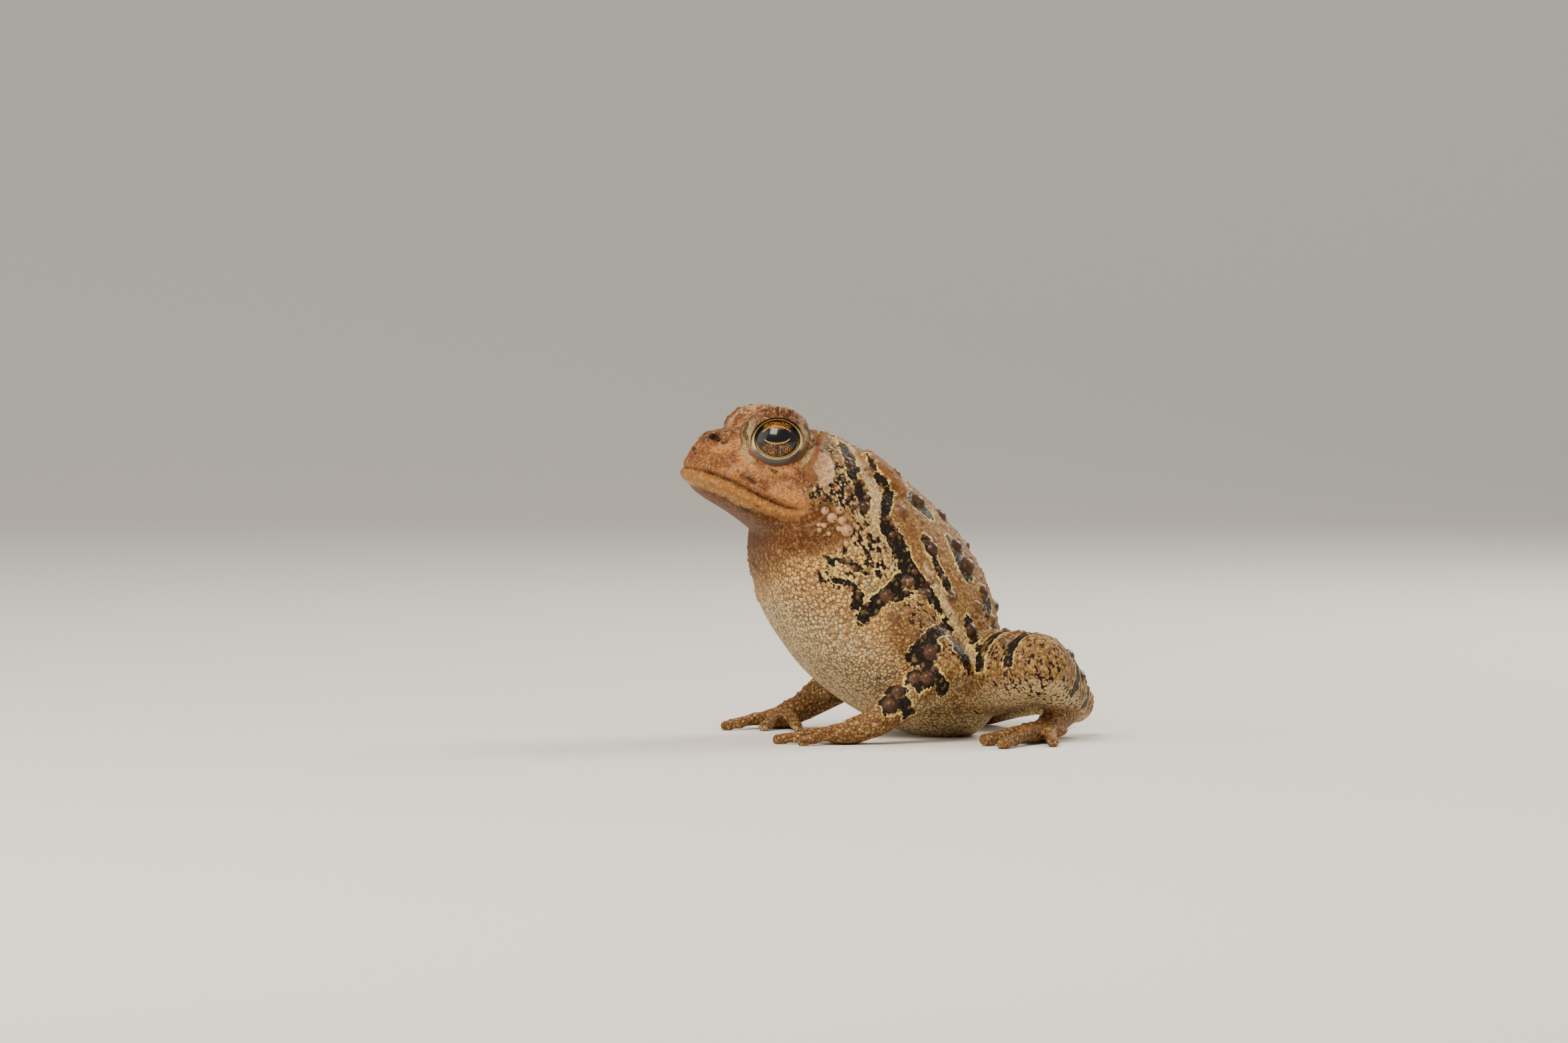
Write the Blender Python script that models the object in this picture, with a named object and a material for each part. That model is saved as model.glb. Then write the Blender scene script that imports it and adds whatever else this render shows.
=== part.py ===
"""A toad sitting up with its head raised, life size, as a still museum model.

Everything is worked out in millimetres and brought to metres at the end. The toad faces -X, its left side
is at -Y, and it sits on the plane Z = 0. Each part of the body is fused from a few round forms into one
closed surface, given its ridges, glands and warts, thinned out, and cut clear of what it grows from.
"""
import math
import random

import bmesh
import bpy
import numpy as np
from mathutils import Matrix, Vector
from mathutils.bvhtree import BVHTree

MM = 0.001
GAP = 0.3                # kept between the parts that meet
MIDDLE = 2.5             # the middle of the toad's footprint along X, brought to the origin at the end

# Head, in its own frame: x runs back from the tip of the snout along the mouth line, z up from that line
HEAD_PITCH = 22.5
MOUTH_TIP = Vector((-27.5, 0.0, 40.3))
JAW_LEVEL = 0.9          # the head is widest this far above the mouth line
JAW_LENGTH = 17.3
# From the snout back: x, roof height, chin height, half width, and how much the section narrows to the roof
HEAD = [
    (-0.3, 2.8, -0.1, 1.0, 0.10),
    (0.2, 4.3, -1.2, 3.0, 0.18),
    (1.4, 6.4, -2.0, 5.4, 0.22),
    (3.4, 7.9, -2.6, 7.7, 0.24),
    (6.0, 9.1, -3.1, 9.6, 0.26),
    (9.0, 10.1, -3.5, 11.1, 0.26),
    (12.5, 11.4, -4.3, 12.3, 0.24),
    (16.0, 12.7, -5.4, 13.0, 0.20),
    (19.5, 13.0, -6.2, 13.3, 0.16),
    (23.0, 12.3, -6.5, 12.5, 0.14),
]
HEAD_FULLNESS = 2.9      # how square its sections are

# Ridges of the left half of the head, in the head's frame: the line, its height and its half width. They
# are the crown's own crest, the crest behind the eye, which turns down and round the ear drum, its spur
# to the parotoid gland, and the edge from nostril to eye
RIDGES = [
    ([(5.5, -3.0, 9.6), (10.0, -3.3, 11.2), (16.0, -4.6, 12.9)], 0.55, 0.9),
    ([(15.2, -7.2, 12.2), (16.2, -7.8, 12.2), (15.1, -9.9, 9.8), (14.1, -11.3, 7.6), (14.6, -12.2, 5.9),
      (16.0, -12.8, 5.0)], 1.0, 0.9),
    ([(16.2, -7.4, 12.3), (19.6, -7.8, 12.2)], 0.7, 0.9),
    ([(2.6, -3.6, 7.2), (5.6, -5.4, 8.8)], 0.35, 0.9),
]
UPPER_LIP = (0.9, 0.35, 0.6)     # above the mouth line, its rise and its half width
LOWER_LIP = (-0.8, 0.6, 0.65)
LIPS_GROW_OVER = 2.5             # behind the tip of the snout
LIPS_FADE = (11.8, 15.8)         # and from here to here they sink away again
LIPS_LEAST = 0.3
CHEEK = (14.0, 1.9)              # the swelling over the corner of the mouth, in the head's frame
CHEEK_REACH = (3.0, 1.15)
CHEEK_RISE = 0.7

# Trunk, from the neck to the vent: the back (x, z), the belly (x, z), the half width, how far up the
# section is widest, from 0 at the belly to 1 at the back, and how square it is
TRUNK = [
    ((-8.0, 45.8), (-16.4, 31.2), 13.2, 0.44, 2.4),
    ((-3.0, 43.9), (-17.0, 27.5), 14.4, 0.44, 2.5),
    ((2.0, 41.2), (-16.3, 23.0), 15.3, 0.44, 2.5),
    ((7.5, 36.9), (-14.9, 18.5), 16.3, 0.43, 2.4),
    ((12.3, 32.1), (-12.0, 13.8), 17.5, 0.41, 2.3),
    ((15.8, 27.4), (-8.2, 9.2), 18.4, 0.40, 2.3),
    ((18.3, 22.2), (-2.6, 4.8), 18.5, 0.40, 2.3),
    ((19.6, 17.0), (3.6, 1.4), 17.0, 0.42, 2.3),
    ((20.3, 12.0), (9.5, -0.5), 14.0, 0.46, 2.3),
    ((20.4, 7.5), (14.6, -0.5), 9.5, 0.50, 2.2),
    ((19.6, 4.2), (17.6, 1.2), 3.0, 0.50, 2.2),
]
RING_POINTS = 48
ROWS_PER_GAP = 4

# Eye, in the head's frame for the left side
EYE = (9.8, -8.0, 8.6)
EYE_RADIUS = 3.8
EYE_LOOK = (-0.20, -1.0, 0.14)
LID = 0.6
LIDS_SHAPE = (1.0, 1.0, 0.95)    # the lids' rounded form, over the eyeball's
LIDS_LIFT = 0.2
EYE_OPENING = (3.25, 2.8)
LID_RIM = (0.6, 0.32, 0.42)      # outside the opening's edge, its rise and its half width
BROW_OFFSET = (0.1, 1.8, 0.7)
BROW_RADII = (5.2, 4.7, 4.5)

# Joints of the left limbs, in the toad's frame
SHOULDER = (-4.6, -10.5, 24.6)
ELBOW = (8.2, -19.6, 11.2)
WRIST = (-3.4, -22.4, 3.2)
PALM = (-6.8, -21.4, 1.8)
HIP = (14.0, -9.5, 9.0)
KNEE = (20.4, -26.5, 11.6)
HEEL = (30.0, -9.5, 5.0)
INSTEP = (23.0, -21.5, 2.0)

# Nostril, a slanting pit in the head's frame: its place, heading, and radii at its mouth and its end
NOSTRIL = (1.7, -4.2, 5.6)
NOSTRIL_HEADING = (0.75, 0.35, -0.55)
NOSTRIL_RADII = (0.3, 0.62)
NOSTRIL_DEPTH = 2.6

# The cut between head and trunk as x and z, from above the nape round the jaw to under the throat
NECK_CUT = [(-0.6, 70.0), (-2.6, 45.0), (-8.0, 31.6), (-17.5, 29.6), (-60.0, 20.6)]

# Muscle over the shoulder blade
SHOULDER_BULGE = (-5.5, -8.5, 26.0)
SHOULDER_BULGE_RADII = (8.0, 5.4, 8.0)

# Palm and sole: the mound's radii, how far it lies ahead of its joint and below it
PALM_RADII = (3.2, 3.3, 1.6)
SOLE_RADII = (4.4, 3.4, 1.4)
MOUND_AHEAD = 1.2
MOUND_BELOW = 0.3

# Thickness of each stretch of limb, as radii from its upper end to its lower end
ARM_RADII = (5.0, 4.5, 4.0, 3.6)
FOREARM_RADII = (3.3, 3.5, 2.9, 2.2)
THIGH_RADII = (6.4, 6.3, 5.8, 4.7)
SHANK_RADII = (4.2, 4.5, 3.8, 3.0)
WRIST_RADII = (2.1, 2.0)
TARSUS_RADII = (2.6, 2.1, 2.0)

# Each digit: its heading from the palm's own, positive outwards, its reach and its thickness
FINGERS = [(-62, 5.8, 1.0), (-26, 6.8, 1.0), (8, 9.0, 1.0), (42, 6.4, 0.95)]
TOES = [(-48, 5.6, 1.0), (-20, 8.5, 1.0), (4, 12.0, 1.05), (24, 17.0, 1.1), (48, 11.0, 1.0)]
DIGIT_START = 1.9        # out from the middle of the palm or sole
DIGIT_START_LEVEL = 1.35
KNUCKLE_SHARE = 0.42     # of the reach, where the digit is highest
KNUCKLE_LEVEL = 1.5      # over its thickness
TIP_LEVEL = 0.6
DIGIT_ROOT_SHAPE = (1.25, 1.0)
DIGIT_END_SHAPE = (1.0, 0.78, 0.86)
HAND_HEADING = -25.0
FOOT_HEADING = 32.0

# Glands and warts of the left side. A wart is x, z and its radius; it is set on the skin beside that point
PAROTOID = (0.5, -9.0, 38.7)
PAROTOID_RADII = (5.6, 3.0, 2.4)
PAROTOID_HEADING = (0.66, -0.15, -0.74)
TYMPANUM = (-9.4, 40.4)
TYMPANUM_RADII = (1.6, 2.0)
TYMPANUM_RIM = (1.1, 0.3, 0.25)  # from the drum's middle, over its radii: where, how high and how wide
TYMPANUM_HOLLOW = (0.3, 0.85)    # how deep and how wide
TYMPANUM_DEPTH = 4.0
WARTS = [
    (6.0, 35.4, 1.4), (11.7, 28.8, 1.2), (13.2, 25.8, 1.6), (15.4, 21.7, 1.3),
    (-4.1, 35.0, 0.8), (-2.8, 34.8, 0.9), (7.3, 28.6, 1.1), (2.8, 23.7, 1.0), (5.3, 21.9, 1.0),
    (9.5, 21.5, 1.0), (12.6, 16.4, 1.1), (16.0, 15.2, 1.1),
]
JAW_WARTS = [(-6.7, 34.2, 0.8), (-7.8, 33.0, 0.9), (-6.2, 32.6, 0.8), (-5.5, 31.1, 1.0), (-8.9, 34.1, 0.75)]
BACK_WARTS = 17          # drawn at random over each half of the back
BACK_WART_SIZES = (0.85, 1.4)
BACK_WART_SPREAD = (8, 78)       # degrees round the trunk from the middle of the back
BACK_WART_ROWS = (1.2, 9.2)      # and rows of the trunk from its front end
BACK_WART_SHRINK = 0.22          # of the size, for each radian down the side
BACK_WART_ROOM = 1.6
LIMB_WARTS = 4           # and over each stretch of limb
LIMB_WART_SIZES = (0.8, 1.15)
LIMB_WART_SPAN = (0.3, 0.85)
LIMB_WART_STRAY = 0.35
WART_RISE = 0.6          # a wart's height over its radius
WART_FULLNESS = 0.7      # lower is squarer
WARTS_START = (15.0, 17.0)       # behind the snout, where the face gives way to warty skin

# The right limbs repeat the left, turned a little about the upright through the shoulder or hip
RIGHT_ARM_TURN = 5.0
RIGHT_LEG_TURN = -4.0

VOXEL = 0.38
CUTTER_VOXEL = 0.7
CUTTER_SPARE = 0.08      # a cutter's own thinning takes this much off it
WELD = 0.004             # closer points are made one after a cut
FLAT_BELOW = 0.1         # lower points are set on the ground
FAR_OUT = 60.0           # beyond any part of the toad
TRIANGLES = {"torso": 3900, "head": 2600, "lower_jaw": 420, "upper_arm": 380, "forearm": 340, "hand": 700,
             "thigh": 440, "shank": 400, "foot": 860}
CUTTER_TRIANGLES = 260

COLOURS = {
    "torso": (0.30, 0.21, 0.12), "head": (0.31, 0.18, 0.10), "lower_jaw": (0.46, 0.26, 0.11),
    "eye": (0.02, 0.012, 0.006), "upper_arm": (0.33, 0.24, 0.14), "forearm": (0.30, 0.22, 0.13),
    "hand": (0.26, 0.18, 0.11), "thigh": (0.28, 0.21, 0.13), "shank": (0.26, 0.19, 0.12),
    "foot": (0.24, 0.17, 0.11),
}

HEAD_TO_BODY = Matrix.Translation(MOUTH_TIP) @ Matrix.Rotation(math.radians(HEAD_PITCH), 4, "Y")


def new_object(name, mesh):
    obj = bpy.data.objects.new(name, mesh)
    bpy.context.scene.collection.objects.link(obj)
    return obj


def object_from(bm, name):
    mesh = bpy.data.meshes.new(name)
    bm.to_mesh(mesh)
    bm.free()
    return new_object(name, mesh)


def settle(obj):
    """Applies an object's modifiers."""
    bpy.context.view_layer.update()
    graph = bpy.context.evaluated_depsgraph_get()
    mesh = bpy.data.meshes.new_from_object(obj.evaluated_get(graph))
    obj.modifiers.clear()
    obj.data = mesh
    return obj


def smooth_rows(rows, per_gap):
    """Reads rows of numbers as a smooth curve through them, with per_gap steps between neighbours."""
    rows = np.array(rows, float)
    padded = np.vstack([2 * rows[0] - rows[1], rows, 2 * rows[-1] - rows[-2]])
    out = []
    for a, b, c, d in zip(padded, padded[1:], padded[2:], padded[3:]):
        for t in np.arange(per_gap) / per_gap:
            out.append(0.5 * (2 * b + (c - a) * t + (2 * a - 5 * b + 4 * c - d) * t**2
                              + (3 * b - a - 3 * c + d) * t**3))
    return np.array(out + [rows[-1]])


def on_section(row, angle, taper=0.0):
    """A point on one ring: angle is 0 on the back, a quarter turn on the left side, a half on the belly."""
    back, belly = Vector((row[0], 0, row[1])), Vector((row[2], 0, row[3]))
    half_width, level, fullness = row[4:7]
    lift = abs(math.cos(angle)) ** (2 / fullness)
    side = -math.copysign(abs(math.sin(angle)) ** (2 / fullness), math.sin(angle))
    share = level + (1 - level) * lift if math.cos(angle) >= 0 else level * (1 - lift)
    if math.cos(angle) >= 0:
        side *= 1 - taper * lift
    return belly.lerp(back, share) + Vector((0, half_width * side, 0))


def loft(rings):
    """Bridges closed rings of equal count into one closed form."""
    bm = bmesh.new()
    loops = []
    for points in rings:
        verts = [bm.verts.new(p) for p in points]
        loops.append([bm.edges.new((verts[i - 1], verts[i])) for i in range(len(verts))])
    for first, second in zip(loops, loops[1:]):
        bmesh.ops.bridge_loops(bm, edges=first + second)
    for end in (loops[0], loops[-1]):
        bmesh.ops.contextual_create(bm, geom=end)
    bmesh.ops.recalc_face_normals(bm, faces=bm.faces)
    return object_from(bm, "loft")


def ring_angles():
    return [2 * math.pi * i / RING_POINTS for i in range(RING_POINTS)]


TRUNK_ROWS = smooth_rows([[*back, *belly, *rest] for back, belly, *rest in TRUNK], ROWS_PER_GAP)


def trunk():
    return loft([[on_section(row, a) for a in ring_angles()] for row in TRUNK_ROWS])


def skull():
    rings = []
    for x, roof, chin, width, taper in smooth_rows(HEAD, ROWS_PER_GAP):
        row = (x, roof, x, chin, width, (JAW_LEVEL - chin) / (roof - chin), HEAD_FULLNESS)
        rings.append([HEAD_TO_BODY @ on_section(row, a, taper) for a in ring_angles()])
    return loft(rings)


def ball(centre, radii, turn=None):
    """An ellipsoid. turn is a rotation of its axes."""
    bm = bmesh.new()
    place = Matrix.Translation(centre) @ (turn or Matrix.Identity(4)) @ Matrix.Diagonal((*radii, 1))
    bmesh.ops.create_icosphere(bm, subdivisions=4, radius=1, matrix=place)
    return object_from(bm, "ball")


def bone(start, end, radii, grow=0.0):
    """A stretch of limb with round ends: radii are read evenly along it."""
    curve = bpy.data.curves.new("bone", "CURVE")
    curve.dimensions = "3D"
    curve.bevel_depth = 1.0
    curve.bevel_resolution = 6
    curve.use_fill_caps = True
    spline = curve.splines.new("POLY")
    steps = smooth_rows([[r + grow] for r in radii], 5)[:, 0]
    spline.points.add(len(steps) - 1)
    for i, radius in enumerate(steps):
        place = Vector(start).lerp(Vector(end), i / (len(steps) - 1))
        spline.points[i].co = (*place, 1)
        spline.points[i].radius = radius
    tube = new_object("bone", curve)
    bpy.context.view_layer.update()
    mesh = bpy.data.meshes.new_from_object(tube.evaluated_get(bpy.context.evaluated_depsgraph_get()))
    bpy.data.objects.remove(tube)
    return [new_object("bone", mesh), ball(start, (steps[0],) * 3), ball(end, (steps[-1],) * 3)]


def heading(degrees):
    """A level direction, turned outwards on the left side from straight ahead."""
    return Vector((-math.cos(math.radians(degrees)), -math.sin(math.radians(degrees)), 0))


def digit(base, turn, reach, thick, grow):
    """A finger or toe: raised at its knuckle, then down to the ground and a blunt tip."""
    knuckle = Vector(base) + heading(turn) * reach * KNUCKLE_SHARE
    knuckle.z = thick * KNUCKLE_LEVEL
    tip = Vector(base) + heading(turn) * reach
    tip.z = thick * TIP_LEVEL
    pieces = bone(base, knuckle, [thick * share for share in DIGIT_ROOT_SHAPE], grow)
    return pieces + bone(knuckle, tip, [thick * share for share in DIGIT_END_SHAPE], grow)


def splayed(base, digits, own_heading, grow):
    """All the digits of a hand or foot, from round its middle."""
    pieces = []
    for turn, reach, thick in digits:
        root = Vector(base) + heading(turn + own_heading) * DIGIT_START
        root.z = DIGIT_START_LEVEL
        pieces += digit(root, turn + own_heading, reach, thick, grow)
    return pieces


def padded_middle(base, radii, own_heading, grow):
    """The palm or sole: a low mound, longer along the hand's heading."""
    turn = Matrix.Rotation(math.radians(own_heading), 4, "Z")
    middle = Vector(base) + heading(own_heading) * MOUND_AHEAD - Vector((0, 0, MOUND_BELOW))
    return ball(middle, [r + grow for r in radii], turn)


def upper_arm(grow=0.0):
    return bone(SHOULDER, ELBOW, ARM_RADII, grow)


def forearm(grow=0.0):
    return bone(ELBOW, WRIST, FOREARM_RADII, grow)


def hand(grow=0.0):
    pieces = bone(WRIST, PALM, WRIST_RADII, grow)
    pieces.append(padded_middle(PALM, PALM_RADII, HAND_HEADING, grow))
    return pieces + splayed(PALM, FINGERS, HAND_HEADING, grow)


def thigh(grow=0.0):
    return bone(HIP, KNEE, THIGH_RADII, grow)


def shank(grow=0.0):
    return bone(KNEE, HEEL, SHANK_RADII, grow)


def foot(grow=0.0):
    pieces = bone(HEEL, INSTEP, TARSUS_RADII, grow)
    pieces.append(padded_middle(INSTEP, SOLE_RADII, FOOT_HEADING, grow))
    return pieces + splayed(INSTEP, TOES, FOOT_HEADING, grow)


LIMBS = {"upper_arm": upper_arm, "forearm": forearm, "hand": hand, "thigh": thigh, "shank": shank, "foot": foot}
# Each stretch of limb that bears warts: its ends, its radii and the way that its open side faces
LIMB_LINES = {
    "upper_arm": (SHOULDER, ELBOW, ARM_RADII, (-0.1, -1.0, 0.2)),
    "forearm": (ELBOW, WRIST, FOREARM_RADII, (0.0, -0.9, 0.6)),
    "thigh": (HIP, KNEE, THIGH_RADII, (-0.1, -0.2, 1.0)),
    "shank": (KNEE, HEEL, SHANK_RADII, (0.7, -0.3, 0.6)),
}


def on_right(limb, kind):
    """The right side's copy of a left limb, turned a little so that the two sides differ."""
    joint, turn = (SHOULDER, RIGHT_ARM_TURN) if kind in ("upper_arm", "forearm", "hand") else (HIP, RIGHT_LEG_TURN)
    joint = Vector((joint[0], -joint[1], 0))
    about = Matrix.Translation(joint) @ Matrix.Rotation(math.radians(turn), 4, "Z") @ Matrix.Translation(-joint)
    mesh = limb.data.copy()
    mesh.transform(about @ Matrix.Diagonal((1, -1, 1, 1)))
    mesh.flip_normals()
    return new_object("right", mesh)


def mirrored(objects):
    """Copies of the left side's forms for the right side."""
    out = []
    for obj in objects:
        mesh = obj.data.copy()
        mesh.transform(Matrix.Diagonal((1, -1, 1, 1)))
        mesh.flip_normals()
        out.append(new_object("mirrored", mesh))
    return out


def fused(forms, voxel, calm=5):
    """One closed surface round overlapping forms, with its creases eased."""
    bm = bmesh.new()
    for form in forms:
        bm.from_mesh(form.data)
        bpy.data.objects.remove(form)
    whole = object_from(bm, "fused")
    remesh = whole.modifiers.new("fuse", "REMESH")
    remesh.mode = "VOXEL"
    remesh.voxel_size = voxel
    ease = whole.modifiers.new("ease", "SMOOTH")
    ease.factor = 0.5
    ease.iterations = calm
    return settle(whole)


def toward(direction):
    """A rotation that brings +X to a direction and keeps +Z near up."""
    return Vector(direction).to_track_quat("X", "Z").to_matrix().to_4x4()


def core():
    """Trunk and head in one, with the brows, shoulders and parotoid glands."""
    eye = eye_centre(-1)
    left = [
        ball(eye + Vector((0, 0, LIDS_LIFT)), [(EYE_RADIUS + GAP + LID) * share for share in LIDS_SHAPE]),
        ball(eye + Vector(BROW_OFFSET), BROW_RADII),
        ball(SHOULDER_BULGE, SHOULDER_BULGE_RADII),
        ball(PAROTOID, PAROTOID_RADII, toward(PAROTOID_HEADING)),
    ]
    return fused([trunk(), skull()] + left + mirrored(left), VOXEL)


def coordinates(mesh):
    points = np.empty(len(mesh.vertices) * 3, np.float32)
    mesh.vertices.foreach_get("co", points)
    return points.reshape(-1, 3).astype(float)


def skin_point(tree, aim, side=-1):
    """Where a line level with a point and square to the mirror plane meets the skin, from outside."""
    hit = tree.ray_cast(Vector((aim[0], side * FAR_OUT, aim[1])), Vector((0, -side, 0)))
    return hit[0]


def distance_to_line(points, line):
    """Each point's distance to a bent line through a few points."""
    best = np.full(len(points), np.inf)
    for a, b in zip(line, line[1:]):
        a, b = np.array(a), np.array(b)
        share = np.clip((points - a) @ (b - a) / ((b - a) @ (b - a)), 0, 1)
        best = np.minimum(best, np.linalg.norm(points - (a + share[:, None] * (b - a)), axis=1))
    return best


def drawn_warts(rng):
    """Random warts over the back and flanks, largest near the middle of the back: point and radius."""
    warts = []
    for side in (-1, 1):
        placed = []
        while len(placed) < BACK_WARTS:
            row = rng.uniform(*BACK_WART_ROWS)
            angle = math.radians(rng.uniform(*BACK_WART_SPREAD))
            place = on_section(TRUNK_ROWS[int(row * ROWS_PER_GAP)], -side * angle)
            radius = rng.uniform(*BACK_WART_SIZES) * (1.05 - BACK_WART_SHRINK * angle)
            if all((place - other).length > radius + size + BACK_WART_ROOM for other, size in placed):
                placed.append((place, radius))
        warts += placed
    return warts


def swellings(points, warts):
    """How far each point rises for round warts, where they meet the higher one counts."""
    rise = np.zeros(len(points))
    for place, radius in warts:
        reach = np.linalg.norm(points - np.array(place), axis=1) / radius
        near = reach < 1
        rise[near] = np.maximum(rise[near], radius * WART_RISE * (1 - reach[near] ** 2) ** WART_FULLNESS)
    return rise


def on_side(place, side):
    """A place or direction of the left side, or its mirror image where side is 1."""
    return Vector((place[0], -side * place[1], place[2]))


def eye_centre(side):
    return on_side(HEAD_TO_BODY @ Vector(EYE), side)


def eye_frame(side):
    """Centre and turn of an eye, with +X out along its look and +Z up."""
    return Matrix.Translation(eye_centre(side)) @ toward(on_side(EYE_LOOK, side))


def within(frame, points):
    """Points of the toad in another frame's own coordinates."""
    inward = np.array(frame.inverted())
    return points @ inward[:3, :3].T + inward[:3, 3]


def carve_core(body):
    """Gives the head and trunk their crests, lips, ear drums, nostril rims and warts."""
    mesh = body.data
    tree = BVHTree.FromObject(body, bpy.context.evaluated_depsgraph_get())
    points = coordinates(mesh)
    normals = np.array([v.normal for v in mesh.vertices])
    head = within(HEAD_TO_BODY, points)
    mirrored_head = head * (1, -1, 1)
    rise = np.zeros(len(points))
    for line, height, width in RIDGES:
        for half in (head, mirrored_head):
            rise += height * np.exp(-(distance_to_line(half, line) / width) ** 2)
    along = np.interp(head[:, 0], LIPS_FADE, (1, 0)) * np.clip(head[:, 0] / LIPS_GROW_OVER, LIPS_LEAST, 1)
    for level, height, width in (UPPER_LIP, LOWER_LIP):
        rise += along * height * np.exp(-((head[:, 2] - level) / width) ** 2)
    from_cheek = (head[:, [0, 2]] - CHEEK) / CHEEK_REACH
    rise += CHEEK_RISE * np.exp(-(from_cheek ** 2).sum(axis=1))
    for side in (-1, 1):
        drum = np.array(skin_point(tree, TYMPANUM, side))
        ring = np.hypot((points[:, 0] - drum[0]) / TYMPANUM_RADII[0], (points[:, 2] - drum[2]) / TYMPANUM_RADII[1])
        near = np.abs(points[:, 1] - drum[1]) < TYMPANUM_DEPTH
        place, height, width = TYMPANUM_RIM
        depth, reach = TYMPANUM_HOLLOW
        rise += near * (height * np.exp(-((ring - place) / width) ** 2) - depth * np.exp(-(ring / reach) ** 6))
        eye = within(eye_frame(side), points)
        rim = (np.hypot(eye[:, 1] / EYE_OPENING[0], eye[:, 2] / EYE_OPENING[1]) - 1) * EYE_OPENING[1]
        outside, height, width = LID_RIM
        rise += (eye[:, 0] > 0.5) * height * np.exp(-((rim - outside) / width) ** 2)
    warts = drawn_warts(random.Random(7))
    for side in (-1, 1):
        for x, z, radius in WARTS + JAW_WARTS:
            warts.append((skin_point(tree, (x, z), side), radius))
    rise += np.interp(head[:, 0], WARTS_START, (0, 1)) * swellings(points, warts)
    points += normals * rise[:, None]
    points[:, 2] = np.maximum(points[:, 2], 0)
    mesh.vertices.foreach_set("co", points.ravel())
    mesh.update()


def carve_limb(body, kind, rng):
    """Warts along the outer side of a stretch of limb, and flats where it stands on the ground."""
    mesh = body.data
    points = coordinates(mesh)
    if kind in LIMB_LINES:
        normals = np.array([v.normal for v in mesh.vertices])
        start, end, radii, open_side = LIMB_LINES[kind]
        warts = []
        for i in range(LIMB_WARTS):
            share = LIMB_WART_SPAN[0] + (LIMB_WART_SPAN[1] - LIMB_WART_SPAN[0]) * i / (LIMB_WARTS - 1)
            middle = Vector(start).lerp(Vector(end), share)
            stray = Vector([rng.uniform(-LIMB_WART_STRAY, LIMB_WART_STRAY) for _ in range(3)])
            out = (Vector(open_side) + stray).normalized()
            thick = radii[min(int(share * len(radii)), len(radii) - 1)]
            warts.append((middle + out * thick, rng.uniform(*LIMB_WART_SIZES)))
        points += normals * swellings(points, warts)[:, None]
    points[:, 2] = np.maximum(points[:, 2], 0)
    mesh.vertices.foreach_set("co", points.ravel())
    mesh.update()


def thinned(obj, triangles):
    """Collapses an object to about a number of triangles, and sets its soles flat on the ground again."""
    obj.data.calc_loop_triangles()
    thin = obj.modifiers.new("thin", "DECIMATE")
    thin.ratio = min(1.0, triangles / len(obj.data.loop_triangles))
    settle(obj)
    points = coordinates(obj.data)
    points[points[:, 2] < FLAT_BELOW, 2] = 0
    obj.data.vertices.foreach_set("co", points.ravel())
    obj.data.update()
    return obj


def prism(outline, frame=None, half_depth=FAR_OUT):
    """A straight-sided solid through the body from side to side, from its outline as x and z."""
    bm = bmesh.new()
    face = bm.faces.new([bm.verts.new((x, -half_depth, z)) for x, z in outline])
    walls = bmesh.ops.extrude_face_region(bm, geom=[face])
    moved = [v for v in walls["geom"] if isinstance(v, bmesh.types.BMVert)]
    bmesh.ops.translate(bm, verts=moved, vec=(0, 2 * half_depth, 0))
    bmesh.ops.recalc_face_normals(bm, faces=bm.faces)
    if frame:
        bm.transform(frame)
    return object_from(bm, "prism")


def cut(obj, cutter, operation="DIFFERENCE", solver="EXACT"):
    """Cuts an object in place and keeps its largest closed surface."""
    step = obj.modifiers.new("cut", "BOOLEAN")
    step.object = cutter
    step.operation = operation
    step.solver = solver
    settle(obj)
    bm = bmesh.new()
    bm.from_mesh(obj.data)
    bmesh.ops.triangulate(bm, faces=bm.faces)
    bmesh.ops.remove_doubles(bm, verts=bm.verts, dist=WELD)
    bmesh.ops.dissolve_degenerate(bm, edges=bm.edges, dist=WELD)
    bmesh.ops.triangulate(bm, faces=bm.faces)
    islands = []
    waiting = set(bm.verts)
    while waiting:
        island, front = set(), [waiting.pop()]
        while front:
            vert = front.pop()
            island.add(vert)
            near = {edge.other_vert(vert) for edge in vert.link_edges} & waiting
            waiting -= near
            front.extend(near)
        islands.append(island)
    islands.sort(key=len)
    for island in islands[:-1]:
        bmesh.ops.delete(bm, geom=list(island), context="VERTS")
    bm.to_mesh(obj.data)
    bm.free()
    return obj


def copied(obj, name):
    return new_object(name, obj.data.copy())


def split_core(body):
    """Parts the head from the trunk behind the jaw and ear drums, and the lower jaw along the mouth line."""
    far_corner = (NECK_CUT[-1][0], NECK_CUT[0][1])
    head = copied(body, "head")
    front = prism(NECK_CUT + [far_corner])
    front_grown = prism([(x + GAP, z - GAP) for x, z in NECK_CUT] + [far_corner])
    cut(head, front, "INTERSECT", "MANIFOLD")
    cut(body, front_grown, "DIFFERENCE", "MANIFOLD")
    lower_jaw = copied(head, "lower_jaw")
    below, below_grown = (
        prism([(-FAR_OUT, room), (JAW_LENGTH + room, room), (JAW_LENGTH + room, -FAR_OUT), (-FAR_OUT, -FAR_OUT)],
              HEAD_TO_BODY) for room in (0, GAP))
    cut(lower_jaw, below, "INTERSECT", "MANIFOLD")
    cut(head, below_grown, "DIFFERENCE", "MANIFOLD")
    for cutter in (front, front_grown, below, below_grown):
        bpy.data.objects.remove(cutter)
    return head, lower_jaw


def ball_of(centre, radius):
    bm = bmesh.new()
    bmesh.ops.create_icosphere(bm, subdivisions=3, radius=radius, matrix=Matrix.Translation(centre))
    return object_from(bm, "eye")


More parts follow.
